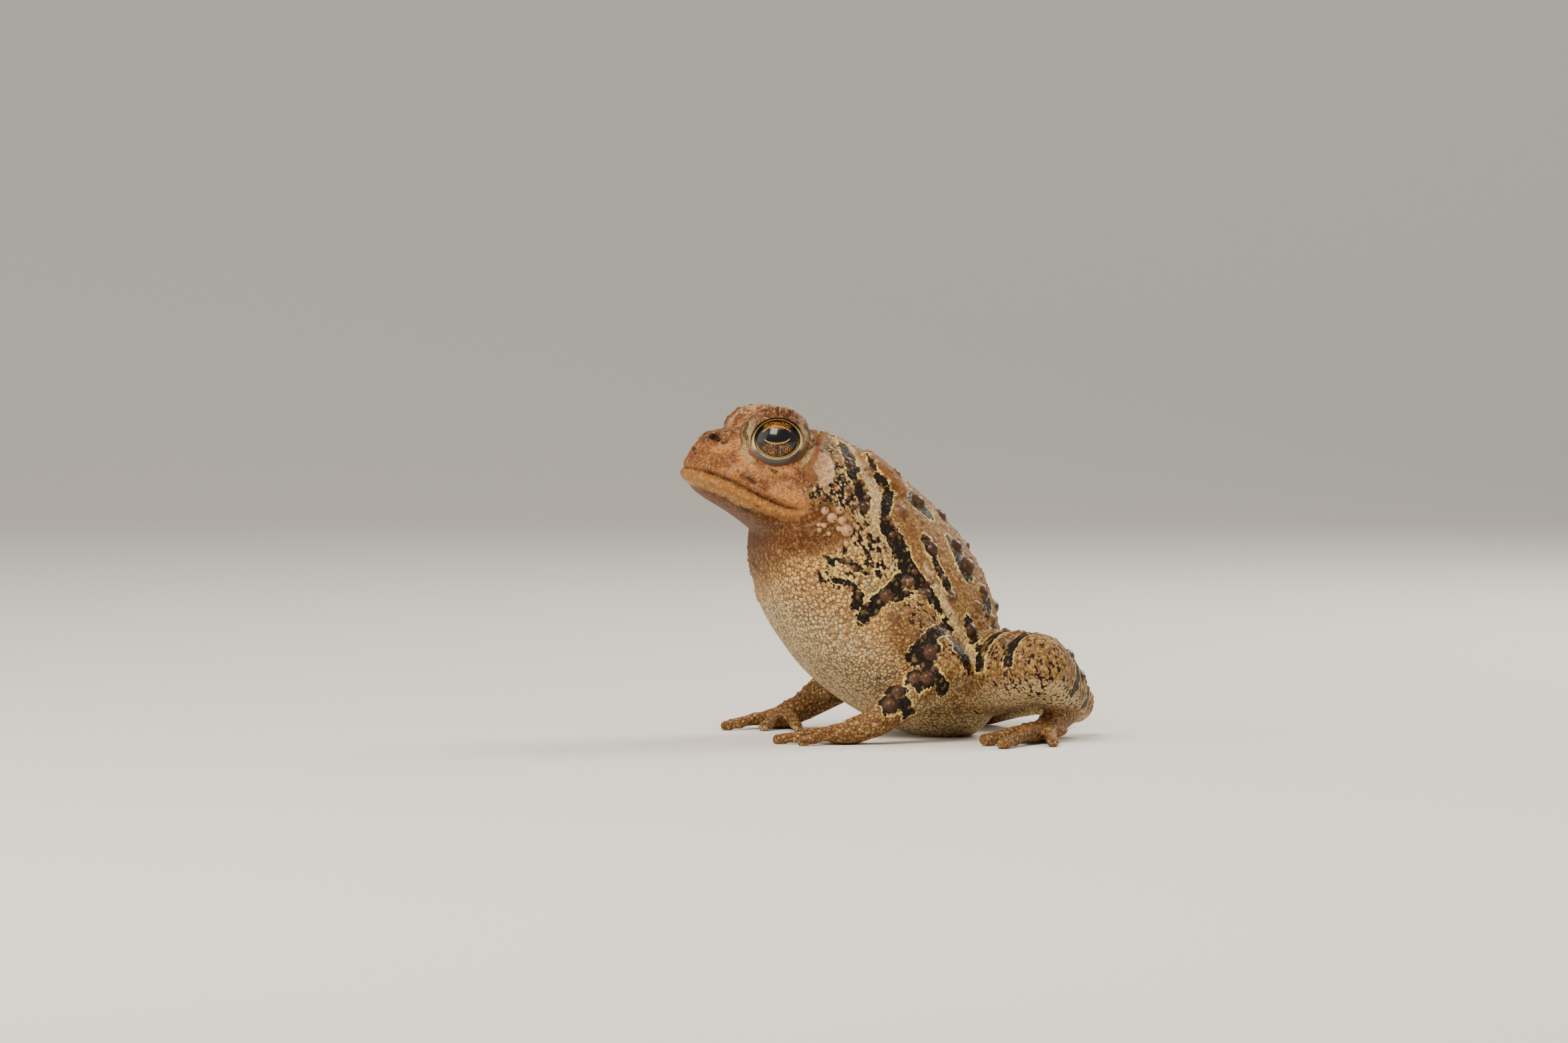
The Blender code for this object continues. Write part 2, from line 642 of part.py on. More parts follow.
def open_eye(head, side):
    """Cuts the opening between the lids, and then hollows the socket behind it."""
    socket = ball_of(eye_centre(side), EYE_RADIUS + GAP)
    bm = bmesh.new()
    place = eye_frame(side) @ Matrix.Translation((6.0, 0, 0)) @ Matrix.Rotation(math.radians(90), 4, "Y")
    place = place @ Matrix.Diagonal((EYE_OPENING[1], EYE_OPENING[0], 1, 1))
    bmesh.ops.create_cone(bm, cap_ends=True, segments=28, radius1=1, radius2=1, depth=9.0, matrix=place)
    opening = object_from(bm, "opening")
    cut(head, opening)
    cut(head, socket)
    bpy.data.objects.remove(socket)
    bpy.data.objects.remove(opening)


def open_nostril(head, side):
    """A small slanting pit."""
    place = HEAD_TO_BODY @ on_side(NOSTRIL, side)
    inward = on_side(NOSTRIL_HEADING, side)
    bm = bmesh.new()
    turn = Matrix.Translation(place) @ inward.to_track_quat("Z", "Y").to_matrix().to_4x4()
    bmesh.ops.create_cone(bm, cap_ends=True, segments=8, radius1=NOSTRIL_RADII[1], radius2=NOSTRIL_RADII[0],
                          depth=NOSTRIL_DEPTH, matrix=turn)
    pit = object_from(bm, "pit")
    cut(head, pit)
    bpy.data.objects.remove(pit)


def finish(name, obj, kind):
    """Names a part, brings it to metres over the origin, and gives it its own material."""
    obj.name = name
    obj.data.name = name
    obj.data.transform(Matrix.Scale(MM, 4) @ Matrix.Translation((-MIDDLE, 0, 0)))
    material = bpy.data.materials.new(name)
    material.use_nodes = True
    shader = material.node_tree.nodes["Principled BSDF"]
    shader.inputs["Base Color"].default_value = (*COLOURS[kind], 1)
    shader.inputs["Roughness"].default_value = 0.15 if kind == "eye" else 0.6
    shader.inputs["Metallic"].default_value = 0.0
    obj.data.materials.clear()
    obj.data.materials.append(material)
    obj.data.shade_smooth()


def main():
    for obj in list(bpy.data.objects):
        bpy.data.objects.remove(obj)
    body = core()
    carve_core(body)
    head, lower_jaw = split_core(body)
    thinned(body, TRIANGLES["torso"])
    thinned(head, TRIANGLES["head"])
    thinned(lower_jaw, TRIANGLES["lower_jaw"])
    parts = {"torso": body, "head": head, "lower_jaw": lower_jaw}
    for side, name in ((-1, "left"), (1, "right")):
        open_eye(head, side)
        open_nostril(head, side)
        parts[f"eye_{name}"] = ball_of(eye_centre(side), EYE_RADIUS)
    rng = random.Random(19)
    keep_clear = []
    for kind, forms in LIMBS.items():
        limb = fused(forms(), VOXEL, 3)
        carve_limb(limb, kind, rng)
        thinned(limb, TRIANGLES[kind])
        for earlier in keep_clear:
            cut(limb, earlier)
        grown = thinned(fused(forms(GAP + CUTTER_SPARE), CUTTER_VOXEL, 1), CUTTER_TRIANGLES)
        keep_clear.append(grown)
        parts[f"{kind}_left"] = limb
        parts[f"{kind}_right"] = on_right(limb, kind)
        for cutter in (grown, on_right(grown, kind)):
            cut(body, cutter)
            if cutter is not grown:
                bpy.data.objects.remove(cutter)
    for grown in keep_clear:
        bpy.data.objects.remove(grown)
    for name, obj in parts.items():
        kind = name.removesuffix("_left").removesuffix("_right")
        finish(name, obj, kind)


main()
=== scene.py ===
import math
import random

import bmesh
import bpy
import numpy as np
from mathutils import Matrix, Vector
from mathutils.bvhtree import BVHTree
from mathutils.kdtree import KDTree


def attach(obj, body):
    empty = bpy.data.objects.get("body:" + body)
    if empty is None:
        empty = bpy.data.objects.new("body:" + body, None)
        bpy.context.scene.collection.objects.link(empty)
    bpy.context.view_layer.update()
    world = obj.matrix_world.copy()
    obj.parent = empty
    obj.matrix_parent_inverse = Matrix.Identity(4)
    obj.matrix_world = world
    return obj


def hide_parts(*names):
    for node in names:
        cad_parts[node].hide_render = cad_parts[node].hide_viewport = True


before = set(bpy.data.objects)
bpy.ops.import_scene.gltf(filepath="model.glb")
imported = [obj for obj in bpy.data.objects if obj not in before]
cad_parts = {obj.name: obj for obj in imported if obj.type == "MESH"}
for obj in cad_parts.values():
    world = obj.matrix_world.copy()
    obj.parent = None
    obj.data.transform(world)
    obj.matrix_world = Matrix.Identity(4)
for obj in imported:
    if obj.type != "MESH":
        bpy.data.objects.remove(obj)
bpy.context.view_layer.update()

# Camera. The toad is seen from its left and a little from the front, almost level, through a long lens.
# Everything here is worked out in millimetres in the toad's own frame, which faces -X with its left side
# at -Y, and the camera's rays also set the skin's marks where the photo shows them.
MM = 0.001
MIDDLE = 2.5                         # the middle of the footprint, which the solids have at their origin
PHOTO = (2357, 1568)
TOAD_PIXEL = (1300.0, 1105.0)        # where the photo has the toad's own origin, on the ground
AZIMUTH = -12.0
ELEVATION = 2.0
LENS = 200.0
SENSOR = 36.0
DISTANCE = 1309.5
VIEW_BACK = Vector((math.sin(math.radians(AZIMUTH)) * math.cos(math.radians(ELEVATION)),
                    -math.cos(math.radians(AZIMUTH)) * math.cos(math.radians(ELEVATION)),
                    math.sin(math.radians(ELEVATION))))
VIEW_RIGHT = Vector((math.cos(math.radians(AZIMUTH)), math.sin(math.radians(AZIMUTH)), 0))
VIEW_UP = VIEW_BACK.cross(VIEW_RIGHT)
PIXEL_SLOPE = SENSOR / PHOTO[0] / LENS
CAMERA_PLACE = (VIEW_BACK * DISTANCE
                - VIEW_RIGHT * (TOAD_PIXEL[0] - PHOTO[0] / 2) * PIXEL_SLOPE * DISTANCE
                + VIEW_UP * (TOAD_PIXEL[1] - PHOTO[1] / 2) * PIXEL_SLOPE * DISTANCE)
TO_ROW = Matrix.Scale(MM, 4) @ Matrix.Translation((-MIDDLE, 0, 0))

lens = bpy.data.cameras.new("camera")
lens.lens = LENS
lens.sensor_width = SENSOR
lens.clip_start = 0.01
camera = bpy.data.objects.new("camera", lens)
camera.location = TO_ROW @ CAMERA_PLACE
camera.rotation_mode = "QUATERNION"
camera.rotation_quaternion = (-VIEW_BACK).to_track_quat("-Z", "Y")
bpy.context.scene.collection.objects.link(camera)
bpy.context.scene.camera = camera


def pixel_ray(px, py):
    """The line of sight through a pixel of the photo."""
    slope = VIEW_RIGHT * (px - PHOTO[0] / 2) + VIEW_UP * (PHOTO[1] / 2 - py)
    return CAMERA_PLACE, (slope * PIXEL_SLOPE - VIEW_BACK).normalized()


# Body. One skin covers head, trunk and limbs, as on the animal. It is fused from the same round forms as
# the solids, at a finer grain: the trunk and head are lofted rings, the limbs are tapering tubes.
HEAD_PITCH = 22.5
MOUTH_TIP = Vector((-27.5, 0.0, 40.3))
JAW_LEVEL = 0.9
HEAD = [                             # along the mouth line, roof, chin, half width, narrowing above
    (-0.3, 2.8, -0.1, 1.0, 0.10),
    (0.2, 4.3, -1.2, 3.0, 0.18),
    (1.4, 6.4, -2.0, 5.4, 0.22),
    (3.4, 7.9, -2.6, 7.7, 0.24),
    (6.0, 9.1, -3.1, 9.6, 0.26),
    (9.0, 10.1, -3.5, 11.1, 0.26),
    (12.5, 11.4, -4.3, 12.3, 0.24),
    (16.0, 12.7, -5.4, 13.0, 0.20),
    (19.5, 13.0, -6.2, 13.3, 0.16),
    (23.0, 12.3, -6.5, 12.5, 0.14),
]
HEAD_FULLNESS = 2.9
TRUNK = [                            # back, belly, half width, level of the widest point, fullness
    ((-8.0, 45.8), (-16.4, 31.2), 13.2, 0.44, 2.4),
    ((-3.0, 43.9), (-17.0, 27.5), 14.4, 0.44, 2.5),
    ((2.0, 41.2), (-16.3, 23.0), 15.3, 0.44, 2.5),
    ((7.5, 36.9), (-14.9, 18.5), 16.3, 0.43, 2.4),
    ((12.3, 32.1), (-12.0, 13.8), 17.5, 0.41, 2.3),
    ((15.8, 27.4), (-8.2, 9.2), 18.4, 0.40, 2.3),
    ((18.3, 22.2), (-2.6, 4.8), 18.5, 0.40, 2.3),
    ((19.6, 17.0), (3.6, 1.4), 17.0, 0.42, 2.3),
    ((20.3, 12.0), (9.5, -0.5), 14.0, 0.46, 2.3),
    ((20.4, 7.5), (14.6, -0.5), 9.5, 0.50, 2.2),
    ((19.6, 4.2), (17.6, 1.2), 3.0, 0.50, 2.2),
]
RING_POINTS = 72
ROWS_PER_GAP = 6
SHOULDER = (-4.6, -10.5, 24.6)
ELBOW = (8.2, -19.6, 11.2)
WRIST = (-3.4, -22.4, 3.2)
PALM = (-6.8, -21.4, 1.8)
HIP = (14.0, -9.5, 9.0)
KNEE = (20.4, -26.5, 11.6)
HEEL = (30.0, -9.5, 5.0)
INSTEP = (23.0, -21.5, 2.0)
ARM_RADII = (5.0, 4.5, 4.0, 3.6)
FOREARM_RADII = (3.3, 3.5, 2.9, 2.2)
THIGH_RADII = (6.4, 6.3, 5.8, 4.7)
SHANK_RADII = (4.2, 4.5, 3.8, 3.0)
TARSUS_RADII = (2.6, 2.1, 2.0)
FINGERS = [(-62, 5.8, 1.0), (-26, 6.8, 1.0), (8, 9.0, 1.0), (42, 6.4, 0.95)]       # turn, length, thickness
TOES = [(-48, 5.6, 1.0), (-20, 8.5, 1.0), (4, 12.0, 1.05), (24, 17.0, 1.1), (48, 11.0, 1.0)]
DIGIT_ROOT = (1.9, 1.35)             # out from the middle of the hand or foot, and up
KNUCKLE = (0.42, 1.5)                # share of the digit's length, and height in its own thickness
DIGIT_JOINT = (0.72, 0.95)
DIGIT_TIP = (1.0, 0.6)
FIRST_BONE = (1.25, 1.0)             # radii in the digit's own thickness
LAST_BONE = (1.0, 0.78, 0.86)
JOINT_SWELL = 0.95
WRIST_RADII = (2.1, 2.0)
PALM_RADII = (3.2, 3.3, 1.6)
SOLE_RADII = (4.4, 3.4, 1.4)
PAD_SHIFT = (1.2, 0.3)               # forwards from the palm's or instep's own point, and down
HAND_HEADING = -25.0
FOOT_HEADING = 32.0
RIGHT_ARM_TURN = 5.0
RIGHT_LEG_TURN = -4.0
EYE = (9.8, -8.0, 8.6)
EYE_RADIUS = 3.8
EYE_SHELL = 4.5
EYE_SHELL_RISE = 0.2
BROW_RADII = (5.2, 4.7, 4.5)
BROW_OFFSET = (0.1, 1.8, 0.7)
SHOULDER_BULGE = (-5.5, -8.5, 26.0)
SHOULDER_BULGE_RADII = (8.0, 5.4, 8.0)
PAROTOID = (0.5, -9.0, 38.7)
PAROTOID_RADII = (5.6, 3.0, 2.4)
PAROTOID_HEADING = (0.66, -0.15, -0.74)
SKIN_VOXEL = 0.26
SKIN_TRIANGLES = 196000
HEAD_TO_BODY = Matrix.Translation(MOUTH_TIP) @ Matrix.Rotation(math.radians(HEAD_PITCH), 4, "Y")


def new_object(name, mesh):
    obj = bpy.data.objects.new(name, mesh)
    bpy.context.scene.collection.objects.link(obj)
    return obj


def object_from(bm, name):
    mesh = bpy.data.meshes.new(name)
    bm.to_mesh(mesh)
    bm.free()
    return new_object(name, mesh)


def settle(obj):
    """Applies an object's modifiers."""
    bpy.context.view_layer.update()
    graph = bpy.context.evaluated_depsgraph_get()
    mesh = bpy.data.meshes.new_from_object(obj.evaluated_get(graph))
    obj.modifiers.clear()
    obj.data = mesh
    return obj


def smooth_rows(rows, per_gap):
    """Reads rows of numbers as a smooth curve through them, with per_gap steps between neighbours."""
    rows = np.array(rows, float)
    padded = np.vstack([2 * rows[0] - rows[1], rows, 2 * rows[-1] - rows[-2]])
    out = []
    for a, b, c, d in zip(padded, padded[1:], padded[2:], padded[3:]):
        for t in np.arange(per_gap) / per_gap:
            out.append(0.5 * (2 * b + (c - a) * t + (2 * a - 5 * b + 4 * c - d) * t**2
                              + (3 * b - a - 3 * c + d) * t**3))
    return np.array(out + [rows[-1]])


def on_section(row, angle, taper=0.0):
    """A point on one ring: angle is 0 on the back, a quarter turn on the left side, a half on the belly."""
    back, belly = Vector((row[0], 0, row[1])), Vector((row[2], 0, row[3]))
    half_width, level, fullness = row[4:7]
    lift = abs(math.cos(angle)) ** (2 / fullness)
    side = -math.copysign(abs(math.sin(angle)) ** (2 / fullness), math.sin(angle))
    share = level + (1 - level) * lift if math.cos(angle) >= 0 else level * (1 - lift)
    if math.cos(angle) >= 0:
        side *= 1 - taper * lift
    return belly.lerp(back, share) + Vector((0, half_width * side, 0))


def loft(rings):
    """Bridges closed rings of equal count into one closed form."""
    bm = bmesh.new()
    loops = []
    for points in rings:
        verts = [bm.verts.new(p) for p in points]
        loops.append([bm.edges.new((verts[i - 1], verts[i])) for i in range(len(verts))])
    for first, second in zip(loops, loops[1:]):
        bmesh.ops.bridge_loops(bm, edges=first + second)
    for end in (loops[0], loops[-1]):
        bmesh.ops.contextual_create(bm, geom=end)
    bmesh.ops.recalc_face_normals(bm, faces=bm.faces)
    return object_from(bm, "loft")


def ball(centre, radii, turn=None):
    """An ellipsoid. turn is a rotation of its axes."""
    bm = bmesh.new()
    place = Matrix.Translation(centre) @ (turn or Matrix.Identity(4)) @ Matrix.Diagonal((*radii, 1))
    bmesh.ops.create_icosphere(bm, subdivisions=5, radius=1, matrix=place)
    return object_from(bm, "ball")


def bone(start, end, radii):
    """A stretch of limb with round ends: radii are read evenly along it."""
    curve = bpy.data.curves.new("bone", "CURVE")
    curve.dimensions = "3D"
    curve.bevel_depth = 1.0
    curve.bevel_resolution = 8
    curve.use_fill_caps = True
    spline = curve.splines.new("POLY")
    steps = smooth_rows([[r] for r in radii], 5)[:, 0]
    spline.points.add(len(steps) - 1)
    for i, radius in enumerate(steps):
        place = Vector(start).lerp(Vector(end), i / (len(steps) - 1))
        spline.points[i].co = (*place, 1)
        spline.points[i].radius = radius
    tube = new_object("bone", curve)
    bpy.context.view_layer.update()
    mesh = bpy.data.meshes.new_from_object(tube.evaluated_get(bpy.context.evaluated_depsgraph_get()))
    bpy.data.objects.remove(tube)
    return [new_object("bone", mesh), ball(start, (steps[0],) * 3), ball(end, (steps[-1],) * 3)]


def heading(degrees):
    """A level direction, turned outwards on the left side from straight ahead."""
    return Vector((-math.cos(math.radians(degrees)), -math.sin(math.radians(degrees)), 0))


def on_digit(root, reach, place, thick):
    """A point of a finger or toe, by its share of the reach and its height in the digit's own thickness."""
    point = root + reach * place[0]
    point.z = thick * place[1]
    return point


def splayed(base, digits, own_heading):
    """Fingers or toes round the middle of a hand or foot, each with a raised knuckle and a blunt tip."""
    pieces = []
    for turn, length, thick in digits:
        along = heading(turn + own_heading)
        root = Vector(base) + along * DIGIT_ROOT[0]
        root.z = DIGIT_ROOT[1]
        knuckle, joint, tip = (on_digit(root, along * length, place, thick)
                               for place in (KNUCKLE, DIGIT_JOINT, DIGIT_TIP))
        pieces += bone(root, knuckle, [thick * share for share in FIRST_BONE])
        pieces += bone(knuckle, tip, [thick * share for share in LAST_BONE])
        pieces.append(ball(joint, (thick * JOINT_SWELL,) * 3))
    return pieces


def padded_middle(base, radii, own_heading):
    """The palm or sole: a low mound, turned to its heading."""
    turn = Matrix.Rotation(math.radians(own_heading), 4, "Z")
    centre = Vector(base) + heading(own_heading) * PAD_SHIFT[0] - Vector((0, 0, PAD_SHIFT[1]))
    return ball(centre, radii, turn)


def on_right(thing, joint, turn):
    """The right side's copy of left forms or points, turned about the upright through a joint."""
    pivot = Vector((joint[0], -joint[1], 0))
    spin = Matrix.Rotation(math.radians(turn), 4, "Z")
    about = Matrix.Translation(pivot) @ spin @ Matrix.Translation(-pivot)
    mirror = about @ Matrix.Diagonal((1, -1, 1, 1))
    if isinstance(thing, Vector):
        return mirror @ thing
    mesh = thing.data.copy()
    mesh.transform(mirror)
    mesh.flip_normals()
    return new_object("right", mesh)


def toward(direction):
    """A rotation that brings +X to a direction and keeps +Z near up."""
    return Vector(direction).to_track_quat("X", "Z").to_matrix().to_4x4()


def mirrored(place, side):
    """A point or direction of the left side, as it is (side -1) or mirrored to the right (side 1)."""
    return Vector((place[0], place[1] * -side, place[2]))


trunk_rows = smooth_rows([[*back, *belly, *rest] for back, belly, *rest in TRUNK], ROWS_PER_GAP)
ring_angles = [2 * math.pi * i / RING_POINTS for i in range(RING_POINTS)]
trunk = loft([[on_section(row, a) for a in ring_angles] for row in trunk_rows])
head_rings = []
for x, roof, chin, width, taper in smooth_rows(HEAD, ROWS_PER_GAP):
    row = (x, roof, x, chin, width, (JAW_LEVEL - chin) / (roof - chin), HEAD_FULLNESS)
    head_rings.append([HEAD_TO_BODY @ on_section(row, a, taper) for a in ring_angles])
eye_left = HEAD_TO_BODY @ Vector(EYE)
middle_forms = [
    ball(eye_left + Vector((0, 0, EYE_SHELL_RISE)), (EYE_SHELL, EYE_SHELL, EYE_SHELL * 0.95)),
    ball(eye_left + Vector(BROW_OFFSET), BROW_RADII),
    ball(SHOULDER_BULGE, SHOULDER_BULGE_RADII),
    ball(PAROTOID, PAROTOID_RADII, toward(PAROTOID_HEADING)),
]
arm_forms = bone(SHOULDER, ELBOW, ARM_RADII) + bone(ELBOW, WRIST, FOREARM_RADII)
arm_forms += bone(WRIST, PALM, WRIST_RADII) + [padded_middle(PALM, PALM_RADII, HAND_HEADING)]
arm_forms += splayed(PALM, FINGERS, HAND_HEADING)
leg_forms = bone(HIP, KNEE, THIGH_RADII) + bone(KNEE, HEEL, SHANK_RADII)
leg_forms += bone(HEEL, INSTEP, TARSUS_RADII) + [padded_middle(INSTEP, SOLE_RADII, FOOT_HEADING)]
leg_forms += splayed(INSTEP, TOES, FOOT_HEADING)
forms = [trunk, loft(head_rings)] + middle_forms + arm_forms + leg_forms
forms += [on_right(form, (0, 0, 0), 0) for form in middle_forms]
forms += [on_right(form, SHOULDER, RIGHT_ARM_TURN) for form in arm_forms]
forms += [on_right(form, HIP, RIGHT_LEG_TURN) for form in leg_forms]

bm = bmesh.new()
for form in forms:
    bm.from_mesh(form.data)
    bpy.data.objects.remove(form)
skin = object_from(bm, "skin")
fuse = skin.modifiers.new("fuse", "REMESH")
fuse.mode = "VOXEL"
fuse.voxel_size = SKIN_VOXEL
ease = skin.modifiers.new("ease", "SMOOTH")
ease.factor = 0.5
ease.iterations = 10
settle(skin)

# Head forms. Ridges of bone run along the crown, and the crest bends down behind the eye. The lips roll
# out along the mouth, the ear drum is a shallow dish with a rim, and the nostrils are slanting slits.
EYE_LOOK = Vector((-0.20, -1.0, 0.14)).normalized()
LID_OUTER = (4.25, 3.85)
LID_DROP = 0.4
LID_RIM = (0.75, 0.5)                # how far outside the margin the brow's lumpy rim is, and half width
LID_RIM_RISE = (0.42, 0.30)          # all round, and what the top has besides
TYMPANUM = (-9.4, 40.4)
TYMPANUM_RADII = (1.6, 2.0)
TYMPANUM_DEPTH = 4.0
DRUM_RIM = (1.1, 0.2)                # place and half width of the drum's rim, in its own radius
DRUM_RIM_RISE = 0.34
DRUM_HOLLOW = 0.36
JAW_LENGTH = 17.3
MOUTH_FOLDS = [                      # over the mouth line, half width, rise
    (0.9, 0.55, 0.40), (-0.9, 0.66, 0.70), (0.0, 0.26, -0.75), (-2.15, 0.45, -0.35)]
CHEEK_PLACE = (14.0, 1.9)            # along the jaw, and over the mouth line
CHEEK_SPREAD = (3.0, 1.15)
CHEEK_RISE = 0.75
NOSTRIL = [(1070, 656), (1080, 660)]
NOSTRIL_RIM = (0.9, 0.35)            # distance from the slit, and half width
NOSTRIL_RIM_RISE = 0.25
NOSTRIL_DEPTH = 1.3
RIDGES = [                           # line, rise, half width
    ([(5.5, -3.0, 9.6), (10.0, -3.3, 11.2), (16.0, -4.6, 12.9)], 0.5, 0.9),
    ([(16.2, -7.4, 12.3), (19.6, -7.8, 12.2)], 0.7, 0.8),
    ([(2.6, -3.6, 7.2), (5.6, -5.4, 8.8)], 0.3, 0.9),
]
CREST = [(15.9, -7.6, 12.4), (15.4, -9.4, 11.4), (14.5, -11.0, 9.7), (14.0, -12.0, 8.0), (14.0, -12.4, 6.8),
         (14.8, -12.7, 5.8), (16.0, -12.9, 5.3)]
CREST_RISE = 0.78
CREST_HALF_WIDTH = 0.72
FAR = 9.0                            # a reach that no form or mark comes to


def eye_frame(side):
    """Centre and turn of an eye, with local +X out along its look and +Z up."""
    return Matrix.Translation(mirrored(eye_left, side)) @ toward(mirrored(EYE_LOOK, side))


def coordinates(mesh):
    """The places of a mesh's vertices, and the directions that they face."""
    places = np.empty(len(mesh.vertices) * 3, np.float32)
    outward = np.empty(len(mesh.vertices) * 3, np.float32)
    mesh.vertices.foreach_get("co", places)
    mesh.vertex_normals.foreach_get("vector", outward)
    return places.reshape(-1, 3).astype(float), outward.reshape(-1, 3).astype(float)


def set_coordinates(mesh, points):
    mesh.vertices.foreach_set("co", points.astype(np.float32).ravel())
    mesh.update()


def within(place, points):
    """The same points as the frame of one part sees them."""
    inward = np.array(place.inverted())
    return points @ inward[:3, :3].T + inward[:3, 3]


def line_reach(points, line, radii=None):
    """Distance from each point to a bent line, less the line's own radius where it has one."""
    best = np.full(len(points), 1e3)
    radii = radii or [0.0] * len(line)
    if len(line) == 1:
        return np.linalg.norm(points - np.array(line[0]), axis=1) - radii[0]
    for a, b, ra, rb in zip(line, line[1:], radii, radii[1:]):
        a, b = np.array(a), np.array(b)
        share = np.clip((points - a) @ (b - a) / ((b - a) @ (b - a)), 0, 1)
        apart = np.linalg.norm(points - (a + share[:, None] * (b - a)), axis=1)
        best = np.minimum(best, apart - (ra + share * (rb - ra)))
    return best


def fade(values, low, high):
    """0 at low and before it, 1 at high and past it, smooth between. low may be the larger one."""
    t = np.clip((values - low) / (high - low), 0, 1)
    return t * t * (3 - 2 * t)


def bell(values, middle, width, power=2):
    """1 at the middle and near 0 past the width. A higher power gives a flatter top."""
    return np.exp(-((values - middle) / width) ** power)


def from_oval(across, up, radii):
    """0 at an oval's middle, 1 on its edge."""
    return np.hypot(across / radii[0], up / radii[1])


def over_mouth(head):
    """How far points of the head lie over its gently waving mouth line."""
    return head[:, 2] - (0.15 - 0.35 * bell(head[:, 0], 14, 3.5) + 0.25 * np.sin(head[:, 0] * 0.45))


tree = BVHTree.FromObject(skin, bpy.context.evaluated_depsgraph_get())


def skin_point(x, z, side=-1):
    """Where a level line square to the mirror plane meets the skin, from outside."""
    return tree.ray_cast(Vector((x, side * 60, z)), Vector((0, -side, 0)))[0]


def seen_point(px, py, side=-1):
    """Where a pixel of the photo falls on the skin or nearest to it, on the near side or mirrored."""
    start, direction = pixel_ray(px, py)
    hit = tree.ray_cast(start, direction)[0]
    return mirrored(hit or tree.find_nearest(start + direction * (DISTANCE - 8))[0], side)


def from_drum(points, side):
    """0 at the middle of an ear drum, 1 on its edge."""
    drum = skin_point(*TYMPANUM, side)
    ring = from_oval(points[:, 0] - drum[0], points[:, 2] - drum[2], TYMPANUM_RADII)
    return np.where(np.abs(points[:, 1] - drum[1]) < TYMPANUM_DEPTH, ring, FAR)


def from_nostril(points, side):
    """Distance to the slit of a nostril."""
    return line_reach(points, [seen_point(px, py, side) for px, py in NOSTRIL])


points, normals = coordinates(skin.data)
head = within(HEAD_TO_BODY, points)
rise = np.zeros(len(points))
for line, height, width in RIDGES:
    for half in (head, head * (1, -1, 1)):
        rise += height * bell(line_reach(half, line), 0, width)
crest_tops = []
for side in (-1, 1):
    feet = [tree.find_nearest(HEAD_TO_BODY @ mirrored(place, side))[:2] for place in CREST]
    rise += CREST_RISE * bell(line_reach(points, [foot for foot, _ in feet]), 0, CREST_HALF_WIDTH)
    crest_tops.append([foot + out * CREST_RISE * 0.8 for foot, out in feet])
along = fade(JAW_LENGTH - head[:, 0], -0.5, 3.0) * np.clip(head[:, 0] / 2.5, 0.35, 1)
from_mouth = over_mouth(head)
for level, half_width, height in MOUTH_FOLDS:
    rise += along * height * bell(from_mouth, level, half_width)
rise += CHEEK_RISE * np.exp(-((head[:, 0] - CHEEK_PLACE[0]) / CHEEK_SPREAD[0]) ** 2
                            - ((from_mouth - CHEEK_PLACE[1]) / CHEEK_SPREAD[1]) ** 2)
for side in (-1, 1):
    ring = from_drum(points, side)
    rise += DRUM_RIM_RISE * bell(ring, *DRUM_RIM) - DRUM_HOLLOW * bell(ring, 0, 0.9, 8)
    reach = from_nostril(points, side)
    rise += NOSTRIL_RIM_RISE * bell(reach, *NOSTRIL_RIM) - NOSTRIL_DEPTH * bell(reach, 0, 0.5, 4)
for side in (-1, 1):
    local = within(eye_frame(side), points)
    rim = (from_oval(local[:, 1], local[:, 2] + LID_DROP, LID_OUTER) - 1) * LID_OUTER[0]
    around = fade(local[:, 0], -1.0, 1.0) * fade(local[:, 2], -2.5, 2.5)
    turn = np.arctan2(local[:, 2], local[:, 1])
    lumps = 1 + 0.16 * np.sin(13 * turn) + 0.12 * np.sin(29 * turn + 1)
    height = LID_RIM_RISE[0] + LID_RIM_RISE[1] * fade(local[:, 2], 1.5, 4.0)
    rise += around * lumps * height * bell(rim, *LID_RIM)
points += normals * rise[:, None]
set_coordinates(skin.data, points)

# Warts. Each is a round gland raised in the skin, the largest in pairs along the back inside the dark
# spots, a cluster of pale ones at the angle of the jaw, and small ones scattered over back and limbs.
WARTS = [                            # X and Z where it is on the side, and radius
    (6.0, 35.4, 1.4), (11.7, 28.8, 1.2), (13.2, 25.8, 1.6), (15.4, 21.7, 1.3),
    (7.3, 28.6, 1.1), (2.8, 23.7, 1.0), (5.3, 21.9, 1.0),
    (9.5, 21.5, 1.0), (12.6, 16.4, 1.1), (16.0, 15.2, 1.1),
]
JAW_WARTS = [(1262, 767, 0.68), (1251, 779, 0.82), (1266, 783, 0.7), (1273, 798, 0.95), (1240, 768, 0.66),
             (1261, 795, 0.45), (1239, 790, 0.42), (1231, 789, 0.36), (1232, 797, 0.4), (1246, 802, 0.4),
             (1229, 763, 0.3), (1272, 817, 0.5), (1284, 811, 0.44), (1302, 814, 0.42), (1299, 802, 0.36)]
JAW_WART_DOTS = [(1263.5, 766.5), (1255, 782.5), (1270, 785), (1277, 799.5), (1242, 765)]
DARK_WARTS = [(1287, 759, 0.7), (1300, 761, 0.85), (1258, 712, 0.42), (1268, 720, 0.4), (1275, 750, 0.34)]
RED_WARTS = [(1199, 710, 0.38), (1217, 730, 0.5), (1196, 724, 0.42), (1216, 742, 0.38), (1221, 757, 0.42),
             (1228, 729, 0.3), (1255, 730, 0.32), (1206, 735, 0.3)]
BACK_WARTS = 17
BACK_WART_ROWS = (1.2, 9.2)
BACK_WART_SPREAD = (8, 78)
BACK_WART_SIZES = (0.85, 1.4)
